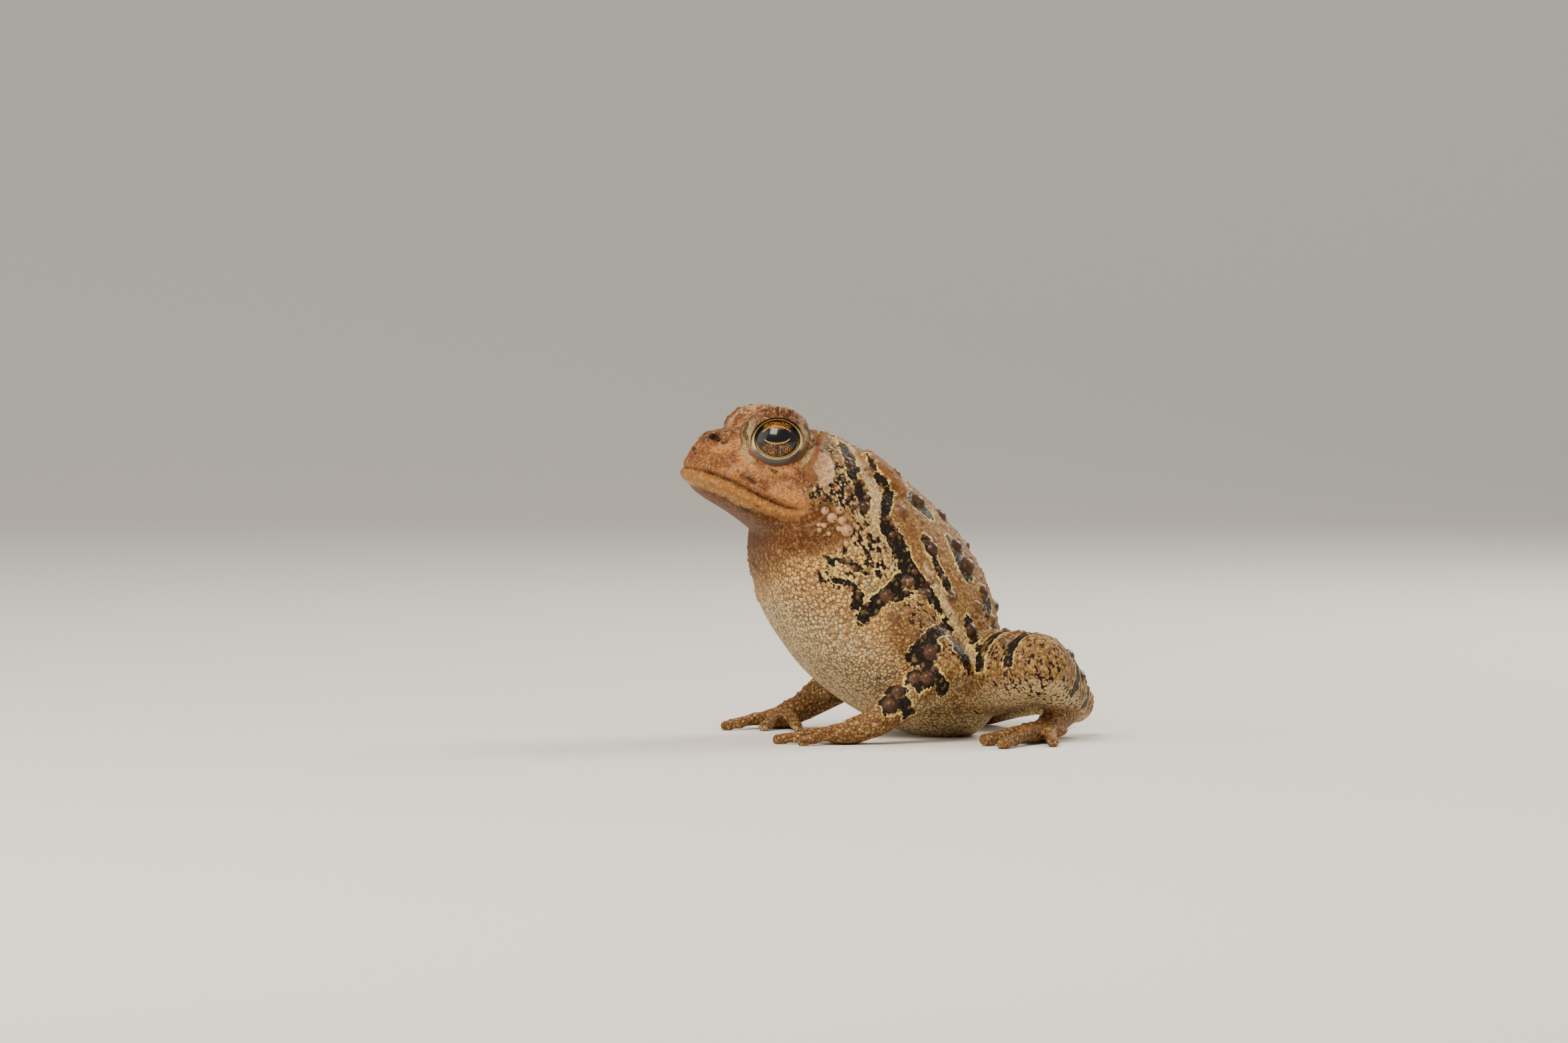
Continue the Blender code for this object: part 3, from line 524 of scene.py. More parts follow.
BACK_WART_SHRINK = (1.05, 0.22)      # on the middle of the back, and the loss by the angle down the side
BACK_WART_ROOM = 1.6
LIMB_WARTS = 4
LIMB_WART_SPAN = (0.3, 0.55)         # the first one's share of the limb, and how far they run on
LIMB_WART_STRAY = 0.35
LIMB_WART_SIZES = (0.8, 1.15)
WART_SHAPE = (0.6, 0.95)             # height in its own radius, and how steeply it ends
PALE_WART_SHAPE = (0.8, 0.6)
LIMB_LINES = {                       # start, end, radii, and the side that is open to view
    "upper_arm": (SHOULDER, ELBOW, ARM_RADII, (-0.1, -1.0, 0.2)),
    "forearm": (ELBOW, WRIST, FOREARM_RADII, (0.0, -0.9, 0.6)),
    "thigh": (HIP, KNEE, THIGH_RADII, (-0.1, -0.2, 1.0)),
    "shank": (KNEE, HEEL, SHANK_RADII, (0.7, -0.3, 0.6)),
}
SMALL_WARTS = 3400
SMALL_WART_SIZES = (0.22, 0.5)
FACE_END = 15.5
DRUM_ROOM = 2.6


def drawn_warts(rng):
    """Random warts over the back and flanks, largest near the middle of the back: point and radius."""
    warts = []
    for side in (-1, 1):
        placed = []
        while len(placed) < BACK_WARTS:
            row = rng.uniform(*BACK_WART_ROWS)
            angle = math.radians(rng.uniform(*BACK_WART_SPREAD))
            place = on_section(trunk_rows[int(row * ROWS_PER_GAP)], -side * angle)
            radius = rng.uniform(*BACK_WART_SIZES) * (BACK_WART_SHRINK[0] - BACK_WART_SHRINK[1] * angle)
            if all((place - other).length > radius + size + BACK_WART_ROOM for other, size in placed):
                placed.append((place, radius))
        warts += placed
    return warts


def on_right_limb(place, kind):
    """The right side's copy of a point of one of the left limbs."""
    joint, turn = (SHOULDER, RIGHT_ARM_TURN) if "arm" in kind else (HIP, RIGHT_LEG_TURN)
    return on_right(place, joint, turn)


def brow_reach(points):
    """1 on the surface of the rounded form under either upper lid, less inside it."""
    centre = eye_left + Vector(BROW_OFFSET)
    away = [(points - np.array(mirrored(centre, side))) / np.array(BROW_RADII) for side in (-1, 1)]
    return np.minimum(*(np.linalg.norm(apart, axis=1) for apart in away))


def finder_of(points):
    """A tree that finds the points near a place."""
    finder = KDTree(len(points))
    for i, point in enumerate(points):
        finder.insert(point, i)
    finder.balance()
    return finder


warts = [(place, radius, "brown") for place, radius in drawn_warts(random.Random(7))]
for side in (-1, 1):
    warts += [(skin_point(x, z, side), radius, "dark") for x, z, radius in WARTS]
    for kind, spots in (("pale", JAW_WARTS), ("dark", DARK_WARTS), ("red", RED_WARTS)):
        warts += [(seen_point(px, py, side), radius, kind) for px, py, radius in spots]
rng = random.Random(19)
for kind, (start, end, radii, open_side) in LIMB_LINES.items():
    for i in range(LIMB_WARTS):
        share = LIMB_WART_SPAN[0] + LIMB_WART_SPAN[1] * i / (LIMB_WARTS - 1)
        stray = Vector([rng.uniform(-LIMB_WART_STRAY, LIMB_WART_STRAY) for _ in range(3)])
        thick = radii[min(int(share * len(radii)), len(radii) - 1)]
        place = Vector(start).lerp(Vector(end), share) + (Vector(open_side) + stray).normalized() * thick
        radius = rng.uniform(*LIMB_WART_SIZES)
        warts += [(place, radius, "brown"), (on_right_limb(place, kind), radius, "brown")]

points, normals = coordinates(skin.data)
head = within(HEAD_TO_BODY, points)
on_lid = (brow_reach(points) < 1.1) & (np.abs(normals[:, 1]) < 0.8)
finder = finder_of(points)
rng = random.Random(31)
large = [(np.array(place), radius) for place, radius, _ in warts]
for _ in range(SMALL_WARTS):
    i = rng.randrange(len(points))
    place = points[i]
    radius = rng.uniform(*SMALL_WART_SIZES)
    on_face = head[i, 0] < FACE_END and not on_lid[i]
    underneath = normals[i, 2] < -0.35 or place[2] < 2.5
    on_drum = math.hypot(place[0] - TYMPANUM[0], place[2] - TYMPANUM[1]) < DRUM_ROOM and abs(place[1]) > 6
    if on_face or underneath or on_drum:
        continue
    if all(np.linalg.norm(place - other) >= radius + size for other, size in large):
        warts.append((Vector(place), radius, "small"))
rise = np.zeros(len(points))
for place, radius, kind in warts:
    tall, steep = PALE_WART_SHAPE if kind == "pale" else WART_SHAPE
    for _, i, apart in finder.find_range(place, radius):
        rise[i] = max(rise[i], radius * tall * (1 - (apart / radius) ** 2) ** steep)
points += normals * rise[:, None]
points[:, 2] = np.maximum(points[:, 2], 0)
set_coordinates(skin.data, points)

# Eye openings. The skin is opened to a round socket, a little inside the outer edge of the lids' margin,
# so the margin tucks in under it.
SOCKET_ROOM = 0.35
OPENING_INSET = 0.25
OPENING_REACH = (5.5, 9.0)           # the cutter's middle, out along the eye's look, and its length

for side in (-1, 1):
    bm = bmesh.new()
    bmesh.ops.create_icosphere(bm, subdivisions=5, radius=EYE_RADIUS + SOCKET_ROOM, matrix=eye_frame(side))
    socket = object_from(bm, "socket")
    bm = bmesh.new()
    outward = Matrix.Translation((OPENING_REACH[0], 0, -LID_DROP)) @ Matrix.Rotation(math.radians(90), 4, "Y")
    outward = outward @ Matrix.Diagonal((LID_OUTER[1] - OPENING_INSET, LID_OUTER[0] - OPENING_INSET, 1, 1))
    bmesh.ops.create_cone(bm, cap_ends=True, segments=64, radius1=1, radius2=1, depth=OPENING_REACH[1],
                          matrix=eye_frame(side) @ outward)
    opening = object_from(bm, "opening")
    for cutter in (opening, socket):
        step = skin.modifiers.new("cut", "BOOLEAN")
        step.object = cutter
        step.solver = "MANIFOLD"
        settle(skin)
        bpy.data.objects.remove(cutter)
thin = skin.modifiers.new("thin", "DECIMATE")
skin.data.calc_loop_triangles()
thin.ratio = min(1.0, SKIN_TRIANGLES / len(skin.data.loop_triangles))
settle(skin)

tree = BVHTree.FromObject(skin, bpy.context.evaluated_depsgraph_get())

# Marks. Chains of round dark spots run down the back and flanks, edged with a thin yellow line. They are
# named by the pixels of the photo that they cover, with each spot's own radius, and repeat on the far side.
DARK_CHAINS = [
    [(1256, 662, 0.4), (1267, 672, 0.8), (1277, 688, 1.0), (1281, 702, 1.0), (1281, 714, 0.6),
     (1290, 728, 0.9), (1299, 745, 1.1), (1302, 762, 1.1), (1302, 773, 0.6)],
    [(1304, 684, 0.6), (1315, 702, 0.8), (1326, 722, 0.9), (1340, 738, 0.8)],
    [(1341, 733, 0.9), (1336, 742, 0.9), (1327, 766, 0.9), (1333, 790, 1.2), (1346, 812, 1.3),
     (1356, 835, 1.3), (1370, 860, 1.2), (1390, 885, 1.1), (1405, 905, 0.7), (1420, 925, 0.9)],
    [(1370, 740, 0.7), (1380, 752, 1.6), (1392, 768, 1.2), (1396, 774, 0.9)],
    [(1428, 812, 1.0), (1438, 825, 1.2), (1448, 845, 1.5), (1454, 865, 1.3)],
    [(1480, 886, 0.9), (1486, 905, 1.2), (1484, 920, 1.0)],
    [(1392, 810, 0.8), (1402, 825, 1.0), (1404, 832, 0.7)],
    [(1405, 845, 0.5), (1412, 860, 0.6), (1424, 880, 0.7), (1432, 893, 0.5)],
    [(1455, 935, 0.9), (1462, 945, 1.0), (1462, 965, 1.0), (1470, 985, 0.8)],
    [(1427, 945, 0.6), (1434, 960, 0.9), (1445, 980, 0.9), (1452, 1000, 0.9)],
    [(1286, 910, 0.8), (1289, 896, 0.7), (1283, 880, 0.5)],
    [(1328, 903, 0.9), (1345, 897, 0.9), (1362, 893, 0.6)],
    [(1240, 837, 0.4), (1255, 845, 0.5), (1275, 843, 0.5), (1288, 853, 0.5), (1306, 861, 0.5),
     (1321, 861, 0.4)],
    [(1243, 862, 0.4), (1258, 873, 0.5), (1280, 878, 0.5)],
]
PALE_BANDS = [
    [(1266, 657, 0.5), (1279, 665, 0.7), (1291, 681, 0.8), (1299, 704, 0.95), (1312, 730, 1.1),
     (1318, 750, 0.9), (1313, 778, 0.9), (1318, 800, 0.6)],
    [(1390, 848, 0.4), (1402, 870, 0.6), (1414, 894, 0.7), (1433, 932, 0.8), (1450, 963, 0.8),
     (1464, 993, 0.7)],
    [(1308, 880, 1.4), (1322, 900, 1.2)],
]
FACE_MARKS = [
    [(1211, 641, 0.6), (1217, 652, 0.65), (1221, 662, 0.5)],
    [(1121, 638, 0.55), (1118, 648, 0.5), (1122, 658, 0.4)], [(1087, 666, 0.2), (1093, 664, 0.15)],
    [(1158, 706, 0.25), (1168, 711, 0.3)], [(1148, 736, 0.25)], [(1124, 718, 0.25), (1134, 726, 0.3)],
    [(1043, 672, 0.3), (1046, 682, 0.3)], [(1110, 708, 0.2)], [(1175, 793, 0.3)],
    [(1112, 761, 0.15), (1121, 769, 0.35), (1128, 764, 0.2), (1139, 761, 0.12)],
    [(1243, 642, 0.5), (1252, 648, 0.4)],
]
TAN_MARKS = [
    [(1072, 676, 0.4), (1088, 674, 0.7), (1104, 666, 0.5), (1114, 674, 0.7), (1120, 690, 0.6),
     (1112, 704, 0.7), (1098, 712, 0.4), (1085, 706, 0.3)],
    [(1128, 700, 0.4), (1140, 712, 0.4), (1180, 706, 0.4), (1190, 712, 0.4)],
    [(1166, 736, 0.9), (1186, 750, 1.3), (1204, 763, 1.0)],
]
YELLOW_MARKS = [[(1290, 837, 0.4), (1303, 845, 0.8), (1313, 852, 0.4)]]
BROWN_PATCHES = [
    [(1316, 687, 0.7), (1331, 702, 1.2), (1343, 714, 1.3), (1347, 728, 1.0)],
    [(1362, 775, 0.9), (1371, 800, 0.9), (1379, 822, 0.6)],
]
PEARLED = [
    [(1235, 832, 0.8), (1262, 838, 1.6), (1288, 850, 1.2)],
    [(1240, 866, 1.0), (1262, 868, 1.6), (1292, 878, 1.2)],
    [(1262, 812, 0.6), (1283, 832, 1.2), (1305, 850, 1.0)],
    [(1280, 800, 0.9), (1296, 820, 1.2), (1318, 860, 1.0)],
    [(1240, 700, 0.5), (1262, 706, 1.2), (1270, 735, 1.4), (1262, 752, 1.0)],
    [(1240, 660, 0.7), (1252, 676, 0.9)], [(1137, 838, 0.6), (1134, 850, 0.3)],
    [(1215, 735, 0.7), (1228, 750, 0.7), (1236, 762, 0.5)],
]
LIMB_BARS = {"upper_arm": (0.35, 0.8), "forearm": (0.25, 0.7), "thigh": (0.25, 0.62, 0.95),
             "shank": (0.3, 0.75)}
BAR_HALF_WIDTH = 1.0
BAR_ROOM = (1.2, 0.8)                # past the limb's thickest radius, and from its axis to the open side
CHAIN_STRAY = 0.7
CHAIN_SWELL = (0.85, 1.15)
SPOT_ROOM = 0.5
LOBE_ROOM = (2.4, 1.4, 2.4)
CHIN = (-13.0, 32.0)
CHIN_REACH = (8.0, 4.6)
BELLY_LINE = ([-30, -11.7, -4, 1.1, 2.5, 6, 20, 34], [40, 33.5, 30, 23.5, 17, 12, 5, 3])
HEAD_END = 15.8
SOFT_WART = 0.7                      # how strongly a small wart shows its own tint
WART_SKIRT = 1.15


def tint(red, green, blue):
    """A colour as it looks on a screen, from 0 to 255, turned to the light it reflects."""
    return tuple(c / 12.92 if c <= 0.04045 else ((c + 0.055) / 1.055) ** 2.4
                 for c in (red / 255, green / 255, blue / 255))


BACK = tint(136, 96, 52)
FACE = tint(124, 74, 36)
CROWN = tint(80, 50, 28)
TAN = tint(192, 130, 72)
CHEEK = tint(180, 126, 82)
# Painted shade, laid in the groove of the mouth line and in and round the nostrils.
GROOVE_SHADE = tint(70, 40, 24)
UPPER_LIP = tint(140, 86, 46)
LOWER_LIP = tint(152, 98, 44)
THROAT = tint(102, 52, 14)
CHEST = tint(240, 184, 116)
BELLY = tint(228, 202, 154)
FLANK = tint(190, 152, 98)
STRIPE = tint(216, 190, 142)
YELLOW_MARK = tint(226, 176, 84)
PAROTOID_BROWN = tint(124, 76, 34)
CREST_BROWN = tint(116, 72, 42)
# Painted shade beside the crest.
CREST_SHADE = tint(62, 42, 28)
EAR_DRUM = tint(224, 180, 138)
DIGIT = tint(142, 96, 58)
BROW = tint(70, 38, 22)
LID_TOP = tint(186, 152, 106)
EYE_CORNER = tint(178, 164, 118)
WART_TINTS = {"brown": tint(98, 60, 34), "dark": tint(80, 48, 28), "red": tint(120, 54, 30),
              "pale": tint(194, 148, 106)}
SMALL_TINTS = (tint(144, 86, 48), tint(198, 156, 100), tint(106, 66, 38), tint(168, 114, 68))


def chain(spots, side=-1, offset=Vector((0, 0, 0)), swell=1.0):
    """The places and radii of one chain of the photo's spots, on the near side or mirrored to the far one."""
    places = [mirrored(seen_point(px, py) + offset, side) for px, py, _ in spots]
    return places, [radius * swell for _, _, radius in spots]


def least_reach(chains):
    """Distance from each point of the skin to the nearest of several chains, on either side."""
    return np.minimum.reduce([line_reach(points, *chain(spots, side))
                              for spots in chains for side in (-1, 1)])


points, normals = coordinates(skin.data)
head = within(HEAD_TO_BODY, points)
from_mouth = over_mouth(head)
on_head = fade(HEAD_END - head[:, 0], -1.2, 1.2) * fade(head[:, 2], -7.5, -5.5)
pale, brown, pearled = (least_reach(chains) for chains in (PALE_BANDS, BROWN_PATCHES, PEARLED))
rng = random.Random(5)
dark = np.full(len(points), FAR)
for spots in DARK_CHAINS:
    dark = np.minimum(dark, line_reach(points, *chain(spots)))
    offset = Vector([rng.uniform(-CHAIN_STRAY, CHAIN_STRAY) for _ in range(3)])
    dark = np.minimum(dark, line_reach(points, *chain(spots, 1, offset, rng.uniform(*CHAIN_SWELL))))
for place, radius, kind in warts:
    if kind == "brown" and (abs(place.y) < 7 or place.z < 14):
        lobe = tree.find_nearest(place + Vector([rng.uniform(-room, room) for room in LOBE_ROOM]))[0]
        lobe_radii = [radius + SPOT_ROOM, radius * 0.6 + SPOT_ROOM / 2]
        dark = np.minimum(dark, line_reach(points, [place, lobe], lobe_radii))
dark = np.minimum(dark + 4 * on_head, least_reach(FACE_MARKS))
dark = np.maximum.reduce([dark, 0.1 - pale, 0.3 - brown])
for kind, shares in LIMB_BARS.items():
    start, end, radii, open_side = LIMB_LINES[kind]
    left = [Vector(start), Vector(end), Vector(start) + Vector(open_side)]
    for first, last, outer in (left, [on_right_limb(place, kind) for place in left]):
        length = (last - first).length
        along = (points - np.array(first)) @ np.array(last - first) / length
        from_axis = points - np.array(first) - along[:, None] * np.array((last - first).normalized())
        outward = from_axis @ np.array((outer - first).normalized())
        near = np.linalg.norm(from_axis, axis=1) - max(radii) - BAR_ROOM[0]
        for share in shares:
            bar = np.abs(along - share * length) - BAR_HALF_WIDTH
            dark = np.minimum(dark, np.maximum.reduce([bar, near, BAR_ROOM[1] - outward]))

# The ground colour of each region is worked out from where it lies on the animal.
# Painted shade is laid in the mouth's groove, in and round the nostrils, round the ear drums' rims and along
# both sides of the crest.
below = np.interp(points[:, 0], *BELLY_LINE) - points[:, 2]
upper_jaw = on_head * fade(from_mouth, -0.15, 0.15)
throat = fade(from_oval(points[:, 0] - CHIN[0], points[:, 2] - CHIN[1], CHIN_REACH), 1.3, 0.7)
on_limb = np.maximum(fade(np.abs(points[:, 1]), 17.5, 19.0), fade(7.0 - points[:, 2], 0, 3))
drum_reach, nostril_reach, crest, gland, brow = (np.full(len(points), FAR) for _ in range(5))
corners = np.zeros(len(points))
for side, crest_top in zip((-1, 1), crest_tops):
    drum_reach = np.minimum(drum_reach, from_drum(points, side))
    nostril_reach = np.minimum(nostril_reach, from_nostril(points, side))
    crest = np.minimum(crest, line_reach(points, crest_top) / CREST_HALF_WIDTH)
    gland_frame = Matrix.Translation(mirrored(PAROTOID, side)) @ toward(mirrored(PAROTOID_HEADING, side))
    local = within(gland_frame, points) / np.array(PAROTOID_RADII)
    gland = np.minimum(gland, np.linalg.norm(local, axis=1))
    local = within(eye_frame(side), points)
    rim = from_oval(local[:, 1], local[:, 2] + LID_DROP, LID_OUTER)
    brow = np.where((local[:, 0] > 0) & (local[:, 2] > -1), np.minimum(brow, rim), brow)
    beside = fade(rim, 1.36, 1.18) * fade(np.abs(local[:, 1]) / LID_OUTER[0], 0.7, 0.95) * (local[:, 0] > 0)
    corners = np.maximum(corners, beside)
on_drum = fade(drum_reach, 1.12, 1.02)
on_drum_rim = fade(drum_reach, 1.3, 1.2)
round_drum = fade(drum_reach, 1.3, 1.0)
on_crest = fade(crest, 1.6, 1.1)
on_gland = fade(gland, 1.12, 0.95)
on_brown = fade(brown, 0.6, -0.3)
on_lid_top = fade(brow_reach(points), 1.16, 1.06)

paint = np.tile(np.array(BACK), (len(points), 1))


def lay(colour, mask):
    """Lays a colour over the ground by a mask from 0 to 1."""
    paint[:] = paint + (np.array(colour) - paint) * np.clip(mask, 0, 1)[:, None]


def lay_chains(colour, chains, share):
    """Lays a colour over chains of the photo's spots, on both sides."""
    for spots in chains:
        for side in (-1, 1):
            lay(colour, share * fade(line_reach(points, *chain(spots, side)), 0.5, -0.2))


flank = fade(below, -9, -4) * fade(below, 2, -1) * (1 - on_limb) * (1 - on_head)
along_back = fade(0.55 - np.abs(points[:, 1]), -0.15, 0.15)
along_back = along_back * fade(points[:, 0], -8, -4) * fade(points[:, 2], 3, 5)
lip = on_head * (1 - upper_jaw) * fade(from_mouth, -2.3, -1.6)
lay(FLANK, flank)
lay(CHEST, fade(below, -1.5, 1.5) * (1 - on_limb))
lay(BELLY, fade(below, 8, 16) * fade(normals[:, 2], 0.3, -0.4))
lay(BELLY, fade(normals[:, 2], -0.2, -0.8) * fade(14 - points[:, 2], 0, 4))
lay(THROAT, throat)
lay(THROAT, fade(from_mouth, -1.9, -2.7) * fade(19 - head[:, 0], 0, 4))
lay(STRIPE, fade(pale, 0.1, -0.3))
lay_chains(YELLOW_MARK, YELLOW_MARKS, 0.8)
lay(STRIPE, 0.8 * along_back)
lay(PAROTOID_BROWN, on_gland)
lay(PAROTOID_BROWN, 0.8 * on_brown)
lay(FACE, upper_jaw)
lay(CROWN, 0.85 * upper_jaw * fade(head[:, 2] - head[:, 0] * 0.28, 3.7, 5.0))
lay(CHEEK, upper_jaw * fade(head[:, 0], 9.5, 13) * fade(4.2 - head[:, 2], 0, 2.0))
lay_chains(TAN, TAN_MARKS, 0.95)
lay(UPPER_LIP, upper_jaw * fade(1.3 - from_mouth, 0, 0.5) * fade(13 - head[:, 0], -1, 2))
lay(LOWER_LIP, lip)
# Painted shade in and round each nostril's hollow, and along the groove of the mouth line.
lay(GROOVE_SHADE, 0.7 * fade(nostril_reach, 1.5, 0.9))
lay(GROOVE_SHADE, on_head * fade(0.22 - np.abs(from_mouth), -0.1, 0.12) * fade(15.5 - head[:, 0], -0.5, 1.5))
# A ring of painted shade round the foot of each ear drum's raised rim, in the crest's brown.
lay(CREST_BROWN, 0.6 * fade(drum_reach, 1.5, 1.3))
lay(STRIPE, on_drum_rim)
lay(EAR_DRUM, on_drum)
# Painted shade along both sides of the crest.
lay(CREST_SHADE, 0.7 * fade(crest, 2.5, 1.7) * (1 - on_drum_rim))
lay(CREST_BROWN, on_crest)
lay(LID_TOP, on_lid_top)
lay(BROW, fade(brow, 1.62, 1.38))
lay(EYE_CORNER, 0.85 * corners)
lay(DIGIT, fade(6 - points[:, 2], 0, 2) * fade(np.abs(points[:, 1]), 13, 17))

spot = np.zeros((len(points), 4))
finder = finder_of(points)
rng = random.Random(43)
for place, radius, kind in warts:
    colour = rng.choice(SMALL_TINTS) if kind == "small" else WART_TINTS[kind]
    if kind == "pale" and radius < 0.5:
        colour = SMALL_TINTS[1]
    strength = SOFT_WART if kind == "small" else 1.0
    for _, i, apart in finder.find_range(place, radius * WART_SKIRT):
        share = strength * fade(WART_SKIRT - apart / radius, 0.0, 0.3)
        if share > spot[i, 3]:
            spot[i] = (*colour, share)

smooth = np.maximum.reduce([on_gland, on_brown, on_crest])
grain = (0.45 + 0.25 * fade(below, -8, -2) + 0.3 * fade(below, -1, 3)) * (1 - 0.7 * upper_jaw)
grain = grain * (1 - 0.6 * on_gland) * (1 - 0.9 * lip) * (1 - 0.85 * spot[:, 3]) * (1 - 0.8 * on_crest)
fine = np.maximum.reduce([on_head, throat, round_drum])
coarse = fade(below, -3, 0) * fade(points[:, 2], 12, 18) * fade(np.abs(points[:, 1]), 6, 10)
coarse *= (1 - throat) * (1 - on_limb)
upper_side = fade(below, 3, -3) * (1 - on_head)
speckle = 0.62 * flank + 0.25 * fade(below, -20, -6) * (1 - flank) * upper_side + 0.15 * on_limb
speckle += 0.5 * fade(pearled, 0.9, -0.3)
speckle *= (1 - smooth) * (1 - lip) * (1 - 0.8 * throat) * (1 - round_drum)
speckle *= 1 - 0.85 * fade(pale, 0.3, -0.1)


def keep(obj, name, values):
    """Stores one value or colour a vertex under a name that the finish reads."""
    if values.ndim == 2 and values.shape[1] == 3:
        values = np.hstack([values, np.ones((len(values), 1))])
    kind, field = ("FLOAT_COLOR", "color") if values.ndim == 2 else ("FLOAT", "value")
    attribute = obj.data.attributes.new(name, kind, "POINT")
    attribute.data.foreach_set(field, values.astype(np.float32).ravel())


for name, values in (("smooth", smooth), ("drum", on_drum), ("nostril", fade(nostril_reach, 0.55, 0.4)),
                     ("paint", paint), ("spot", spot), ("dark", dark), ("grain", grain), ("fine", fine),
                     ("coarse", coarse), ("speckle", speckle), ("face", upper_jaw * (1 - 0.8 * on_crest)),
                     ("lid_top", on_lid_top * fade(brow, 1.38, 1.62))):
    keep(skin, name, values)


class Wire:
    """A value that runs through a finish. Python's own sums on it add the nodes that work them out."""

    def __init__(self, socket):
        self.socket = socket
        self.tree = socket.id_data

    def maths(self, operation, *values):
        return node(self.tree, "Math", {"operation": operation}, dict(enumerate((self,) + values)))

    def __add__(self, other):
        return self.maths("ADD", other)

    def __mul__(self, other):
        return self.maths("MULTIPLY", other)

    def __sub__(self, other):
        return self.maths("SUBTRACT", other)

    def __rsub__(self, other):
        return node(self.tree, "Math", {"operation": "SUBTRACT"}, {0: other, 1: self})

    __radd__ = __add__
    __rmul__ = __mul__

    def least(self, other):
        return self.maths("MINIMUM", other)

    def most(self, other):
        return self.maths("MAXIMUM", other)

    def size(self):
        return self.maths("ABSOLUTE")

    def step(self, low, high):
        """0 below low, 1 above high, smooth between. low may be the larger one."""
        return node(self.tree, "MapRange", {"interpolation_type": "SMOOTHSTEP"}, {0: self, 1: low, 2: high})


def plug(made, values):
    """Sets sockets of a node, each to a value or to the wire that works it out."""
    for key, value in values.items():
        socket = made.inputs[key]
        if isinstance(value, Wire):
            made.id_data.links.new(value.socket, socket)
        elif socket.type == "RGBA":
            socket.default_value = (*value, 1)
        else:
            socket.default_value = value


def node(tree, kind, settings=None, values=None, out=0):
    """Adds one node: its settings first, then the values or wires of its sockets."""
    made = tree.nodes.new("ShaderNode" + kind)
    for key, value in (settings or {}).items():
        setattr(made, key, value)
    plug(made, values or {})
    return Wire(made.outputs[out])


def new_finish(name):
    """A material with one Principled shader: the material, its tree and the shader."""
    finish = bpy.data.materials.new(name)
    finish.use_nodes = True
    return finish, finish.node_tree, finish.node_tree.nodes["Principled BSDF"]


def mixed(factor, first, second):
    """One colour turned into another by a factor."""
    return node(factor.tree, "Mix", {"data_type": "RGBA"}, {0: factor, 6: first, 7: second}, 2)


BLACK_SPOT = tint(30, 23, 17)
PEARL = tint(232, 208, 166)
YELLOW = tint(220, 176, 78)
DRUM_MOTTLE = tint(136, 96, 78)
FACE_DARK = tint(62, 42, 34)
NOSTRIL_SHADE = tint(20, 14, 10)
SPOT_EDGE = tint(224, 194, 112)
OLIVE_FLECK = tint(104, 86, 44)
# Painted shade in the gaps between granules, down their sides, and round the feet of the warts.
CREVICE_SHADE = tint(74, 44, 24)
LIGHT_MOTTLE = tint(198, 160, 106)
DARK_MOTTLE = tint(98, 68, 38)
FLAKE = tint(206, 146, 84)
# Painted shade in the hollows of the face's crusty relief.
FACE_SHADE = tint(76, 44, 26)
LILAC = tint(150, 128, 134)
RED_BROWN = tint(112, 58, 30)
GRANULE = 0.5
FINE_GRANULE = 0.26
COARSE_GRANULE = 0.66
STREAK_SLANT = -26.0
STREAK_LENGTH = 3.0
PALE_WART_DOT = tint(48, 30, 26)
DOT_RADII = (0.18, 0.11)             # where its edge begins and ends
RELIEF = 0.17

finish, tree_nodes, shader = new_finish("toad_skin")


def in_millimetres():
    """Where the surface is, in millimetres."""
    place = node(tree_nodes, "TexCoord", out=3)
    return node(tree_nodes, "VectorMath", {"operation": "SCALE"}, {0: place, 3: 1 / MM})


def noise(scale, detail=2.0, roughness=0.5, offset=(0.0, 0.0, 0.0)):
    """Cloudy noise with features about 1/scale mm across."""
    moved = node(tree_nodes, "VectorMath", {"operation": "ADD"}, {0: in_mm, 1: offset})
    return node(tree_nodes, "TexNoise", {}, {"Vector": moved, "Scale": scale, "Detail": detail,
                                             "Roughness": roughness})


def cells(size, feature="F1", out=0):
    """The skin's granules: round cells of about a given size."""
    return node(tree_nodes, "TexVoronoi", {"feature": feature}, {"Vector": in_mm, "Scale": 1 / size}, out)


def carried(name, out=2):
    """A value that the piece's vertices carry."""
    return node(tree_nodes, "Attribute", {"attribute_name": name}, {}, out)


def sized(first, second, third):
    """One of three sizes of granule: the middle one, or the fine or coarse one where the skin has those."""
    middle = first + (second - first) * fine
    return middle + (third - middle) * coarse


in_mm = in_millimetres()
grain, fine, coarse, dark, speckle, face = (
    carried(name) for name in ("grain", "fine", "coarse", "dark", "speckle", "face"))
spot_share = carried("spot", 3)
sizes = (GRANULE, FINE_GRANULE, COARSE_GRANULE)
gap = sized(*(cells(size, "DISTANCE_TO_EDGE") for size in sizes))
dome = sized(*(cells(size) for size in sizes))
own_chance, other_chance = (
    sized(*(node(tree_nodes, "SeparateColor", {}, {0: cells(size, out=1)}, part) for size in sizes))
    for part in (0, 1))
along_flank = node(tree_nodes, "Mapping", {"vector_type": "TEXTURE"}, {
    "Vector": in_mm, "Rotation": (0, math.radians(STREAK_SLANT), 0), "Scale": (1, 1, STREAK_LENGTH)})
streaks = node(tree_nodes, "TexNoise", {}, {"Vector": along_flank, "Scale": 1.9, "Detail": 3.0})
small = noise(1.6, 4.0, 0.6)
tiny = noise(5.0, 3.0, 0.6, (2.0, 6.0, 1.0))
crust = noise(2.4, 5.0, 0.75, (3.0, 9.0, 4.0))
body = (1 - face) * (1 - carried("smooth") * 0.7)
veins = (crust - 0.5).size().step(0.03, 0.0) * noise(0.7, 2.0).step(0.42, 0.6)
